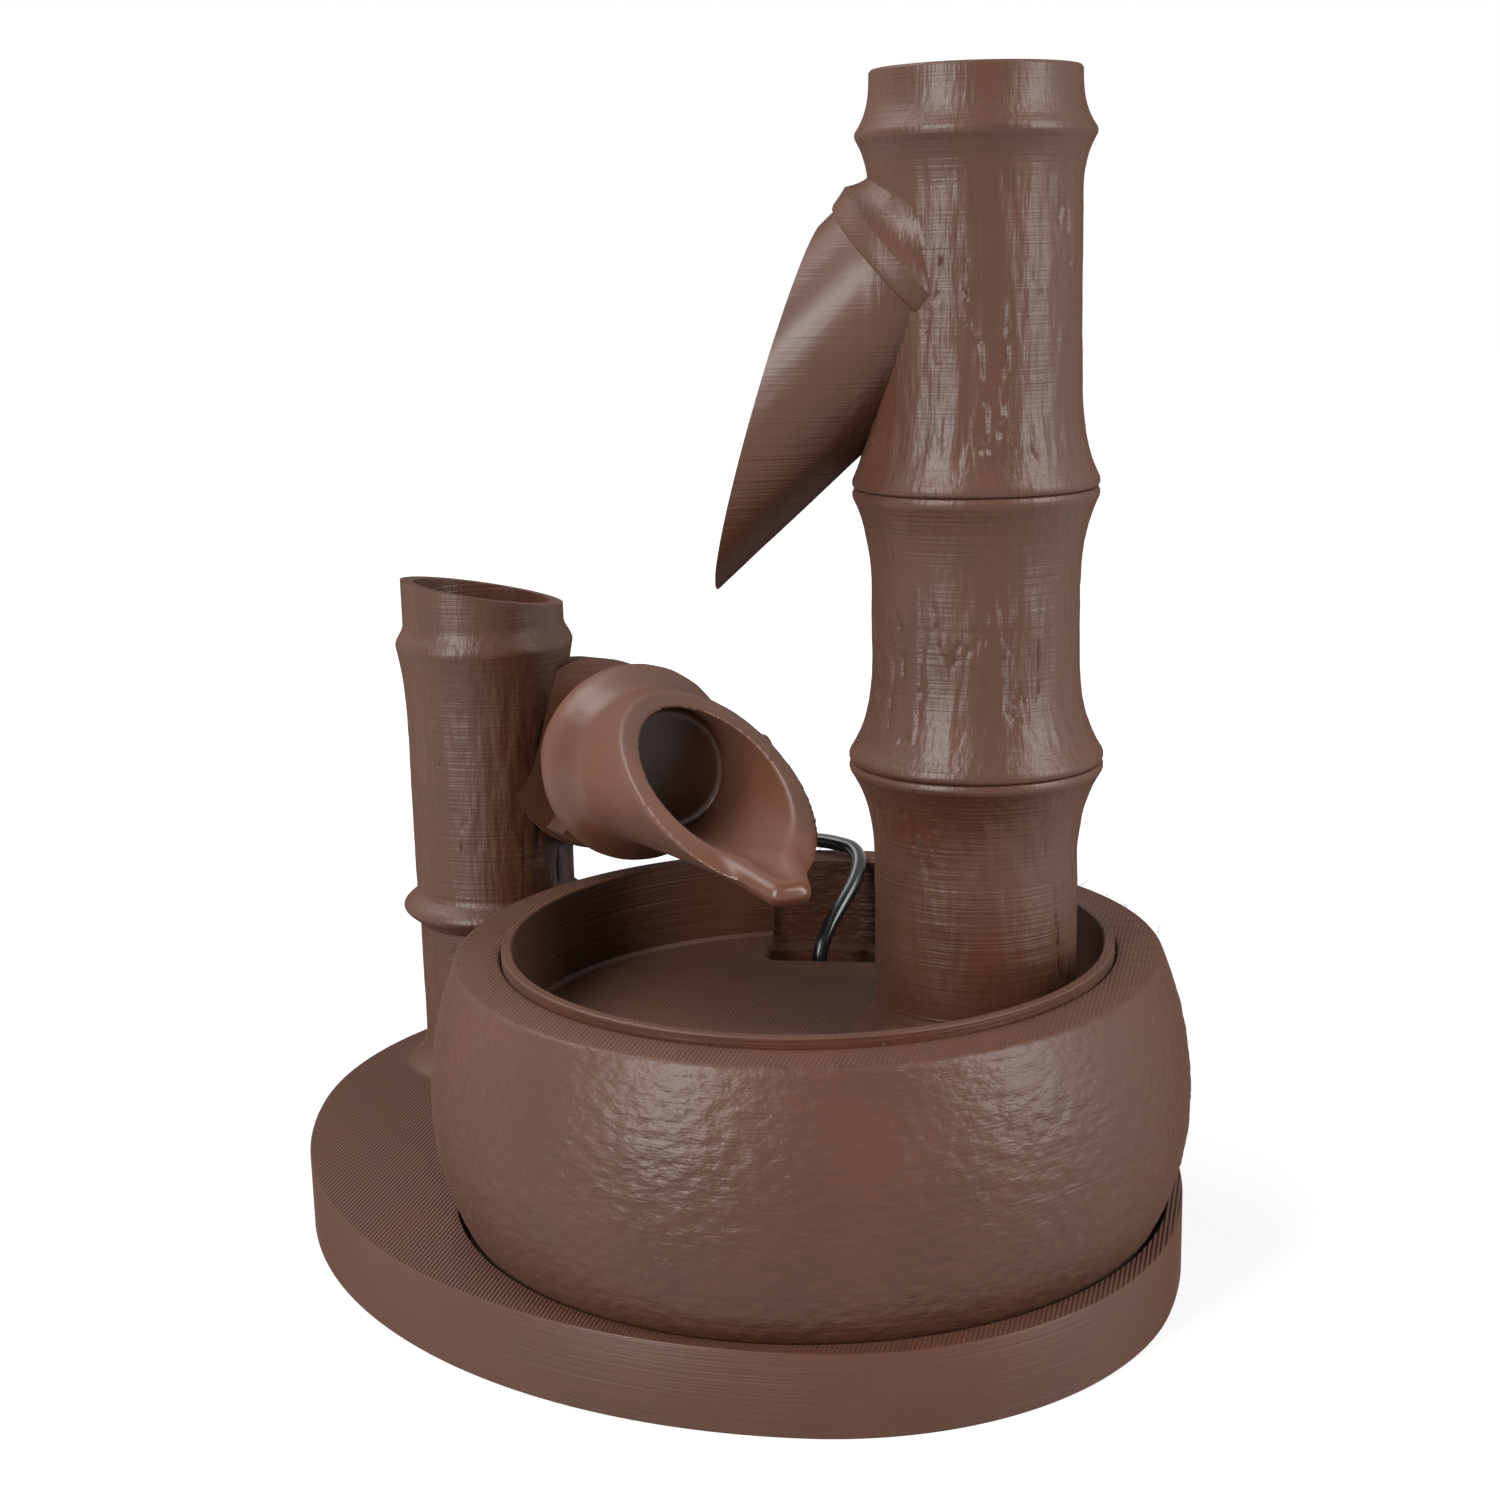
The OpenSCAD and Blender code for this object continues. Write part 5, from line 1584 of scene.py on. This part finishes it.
@dataclass
class Tipper(Assembly):
    """Tipping cup, in mm in its own frame: X out of the mouth, Y to its right, Z up."""

    mouth: Point = (-15.0, -20.0, 101.6)
    turn: float = -99.0
    tilt: float = 7.3
    mouth_r: float = 17.4
    cup_r: float = 13.2
    cup_depth: float = 30.0
    cut: float = 31.0
    waist: float = 16.8
    node_r: float = 21.7
    node_at: float = 48.3
    node_half: float = 13.0
    tail: float = 70.0
    tail_round: float = 4.0
    lip_reach: float = 7.4
    lip_w: float = 9.0
    lip_ball: float = 2.4
    lip_spread: float = 7.4
    lip_back: float = 12.0
    lip_fall: float = 3.6
    groove_r: float = 3.4
    groove_tilt: float = 5.8
    pivot: tuple[float, float] = (39.0, 2.0)
    pin_bore: float = 2.05
    boss_r: float = 5.0
    boss_right: float = 21.9
    pin_left: float = 11.5
    chamber_r: float = 10.5
    chamber_len: float = 19.6
    relief: Relief = Relief(0.5, 4.5, 16.0, 0.0, 21.0)
    melt: float = 0.42
    soften: int = 36
    crisp_from: float = 78.0

    @property
    def lip(self) -> float:
        """Give the place of the mouth's lowest edge along the axis."""
        return self.mouth_r / math.tan(math.radians(self.cut))

    def axes(self) -> Matrix:
        """Give the matrix, in metres, from the cup's frame to the row frame."""
        return at(*self.mouth) @ turned(self.turn, "Z") @ turned(-self.tilt, "Y")

    def shape(self, s: float) -> float:
        """Give the outer radius at a place along the axis."""
        if s < self.tail_round - self.tail:
            u = (self.tail_round - self.tail - s) / self.tail_round
            return self.waist - self.tail_round * (1.0 - math.sqrt(max(0.0, 1.0 - u * u)))
        return (lerp(self.waist, self.mouth_r, max(0.0, 1.0 + s / self.cup_depth))
                + bump(s + self.node_at, self.node_r - self.waist, self.node_half))

    def along(self, name: str, r: float, s0: float, s1: float) -> bpy.types.Object:
        """Make a round tool along the cup's axis."""
        return place(rod(name, r, s0, s1, 128), turned(90.0, "Y"))

    def across(self, name: str, r: float, y0: float, y1: float) -> bpy.types.Object:
        """Make a round tool along the pivot."""
        return place(rod(name, r, y0, y1, 64), turned(-90.0, "X"), at(-self.pivot[0], 0, -self.pivot[1]))

    def blank(self) -> bpy.types.Object:
        """Make the cup's solid before it is cut.

        Returns:
            The solid, in the cup's frame.
        """
        end = self.lip + 2.0
        skin = wall(self.shape, -self.tail, end, 0.6, lambda s: fade(s, -self.tail + 6, -4.0, 5.0))
        obj = lathe("tipper_cup", [(0.0, -self.tail)] + skin + [(0.0, end)], 240)
        return place(self.trees.press(obj, Finish.SMOOTH, self.relief), turned(90.0, "Y"))

    def slant(self) -> bpy.types.Object:
        """Make the tool that cuts the mouth.

        Returns:
            The tool, in the cup's frame.
        """
        r, lip = self.mouth_r, self.lip
        side = [(lip, -r), (-lip, r), (-2 * lip, 2 * r), (3 * lip, 2 * r), (3 * lip, -2 * r),
                (2 * lip, -2 * r)]
        return place(prism("slant", side, -2 * r, 2 * r), turned(90.0, "X"))

    def groove(self) -> bpy.types.Object:
        """Make the tool that cuts the water's groove into the lip."""
        reach = 2 * (self.lip_back + self.lip_reach)
        return place(rod("groove", self.groove_r, 0, reach, 64), turned(90.0 + self.groove_tilt, "Y"),
                     at(self.lip - 2 * self.lip_back, 0, self.groove_r - self.cup_r))

    def beak(self) -> bpy.types.Object:
        """Make the solid of the pulled lip, a skin round five balls.

        Returns:
            The solid.
        """
        back, front = self.lip - self.lip_back, self.lip + self.lip_reach - self.lip_ball
        low = -self.mouth_r + self.lip_ball
        angle = math.radians(self.cut)
        root = self.lip_back * math.tan(angle) - self.mouth_r - self.lip_ball / math.cos(angle)
        spots = [(back, y * self.lip_spread, root) for y in (-1, 1)]
        spots += [(front, y * (self.lip_w / 2 - self.lip_ball), low - self.lip_fall) for y in (-1, 1)]
        spots += [(back, 0.0, low)]
        bm, balls = bmesh.new(), bmesh.new()
        for spot in spots:
            bmesh.ops.create_icosphere(balls, subdivisions=3, radius=self.lip_ball * MM, matrix=at(*spot))
        for vert in balls.verts:
            bm.verts.new(vert.co)
        balls.free()
        bmesh.ops.convex_hull(bm, input=bm.verts)
        bmesh.ops.delete(bm, geom=[v for v in bm.verts if not v.link_faces], context="VERTS")
        bmesh.ops.recalc_face_normals(bm, faces=bm.faces)
        mesh = bpy.data.meshes.new("beak")
        bm.to_mesh(mesh)
        bm.free()
        return link("beak", mesh)

    def build(self) -> None:
        """Make the cup and dress what it holds."""
        obj = carve(self.blank(), Cut.TAKE, self.slant())
        carve(obj, Cut.JOIN, self.beak(), self.across("boss", self.boss_r, 0.0, self.boss_right))
        carve(obj, Cut.TAKE, self.along("cup", self.cup_r, -self.cup_depth, 2 * self.lip), self.groove())
        mod = obj.modifiers.new("melt", "REMESH")
        mod.mode, mod.voxel_size = "VOXEL", self.melt * MM
        soft = obj.modifiers.new("soften", "SMOOTH")
        soft.factor, soft.iterations = 0.5, self.soften
        settle(obj)
        carve(obj, Cut.TAKE,
              self.along("chamber", self.chamber_r, -self.tail - 1, -self.tail + self.chamber_len),
              self.across("pin bore", self.pin_bore, -self.pin_left, self.boss_right + 1))
        place(obj, self.axes())
        hand_over(dress(obj, Finish.SMOOTH, self.crisp_from), Body.TIPPER, "brown_print", "tipper")
        repaint(Finish.SMOOTH, "tail_plug")
        repaint(Finish.STEEL, "counterweight")


class Pump:
    """Pump, hose and gland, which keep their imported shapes."""

    @staticmethod
    def build() -> None:
        """Dress the pump's pieces."""
        repaint(Finish.PUMP, "pump_housing", "pump_back_cap", "pump_volute", "intake_grille")
        repaint(Finish.SHEET, "stator_core")
        repaint(Finish.COPPER, "stator_winding")
        repaint(Finish.CERAMIC, "pump_shaft")
        repaint(Finish.RUBBER, "shaft_bushes", "pump_feet", "cable_gland")
        repaint(Finish.MAGNET, "rotor_magnet")
        repaint(Finish.NYLON, "impeller")
        repaint(Finish.HOSE, "riser_hose")


def main() -> None:
    """Build the studio and every sub-assembly in order."""
    logging.basicConfig(level=logging.INFO, format="%(name)s: %(message)s")
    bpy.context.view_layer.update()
    Studio().build()
    layout, trees = Layout(), Trees(relief_tree(), wisp_tree(), rib_tree())
    Cable(layout, trees).build()
    BasePlate(layout, trees).build()
    Bowl(layout, trees).build()
    stem = Stem(layout, trees)
    Tray(layout, trees).build(stem)
    stem.middle()
    stem.top(Spout(layout, trees))
    Post(layout, trees).build()
    Tipper(layout, trees).build()
    Pump.build()


if __name__ == "__main__":
    main()
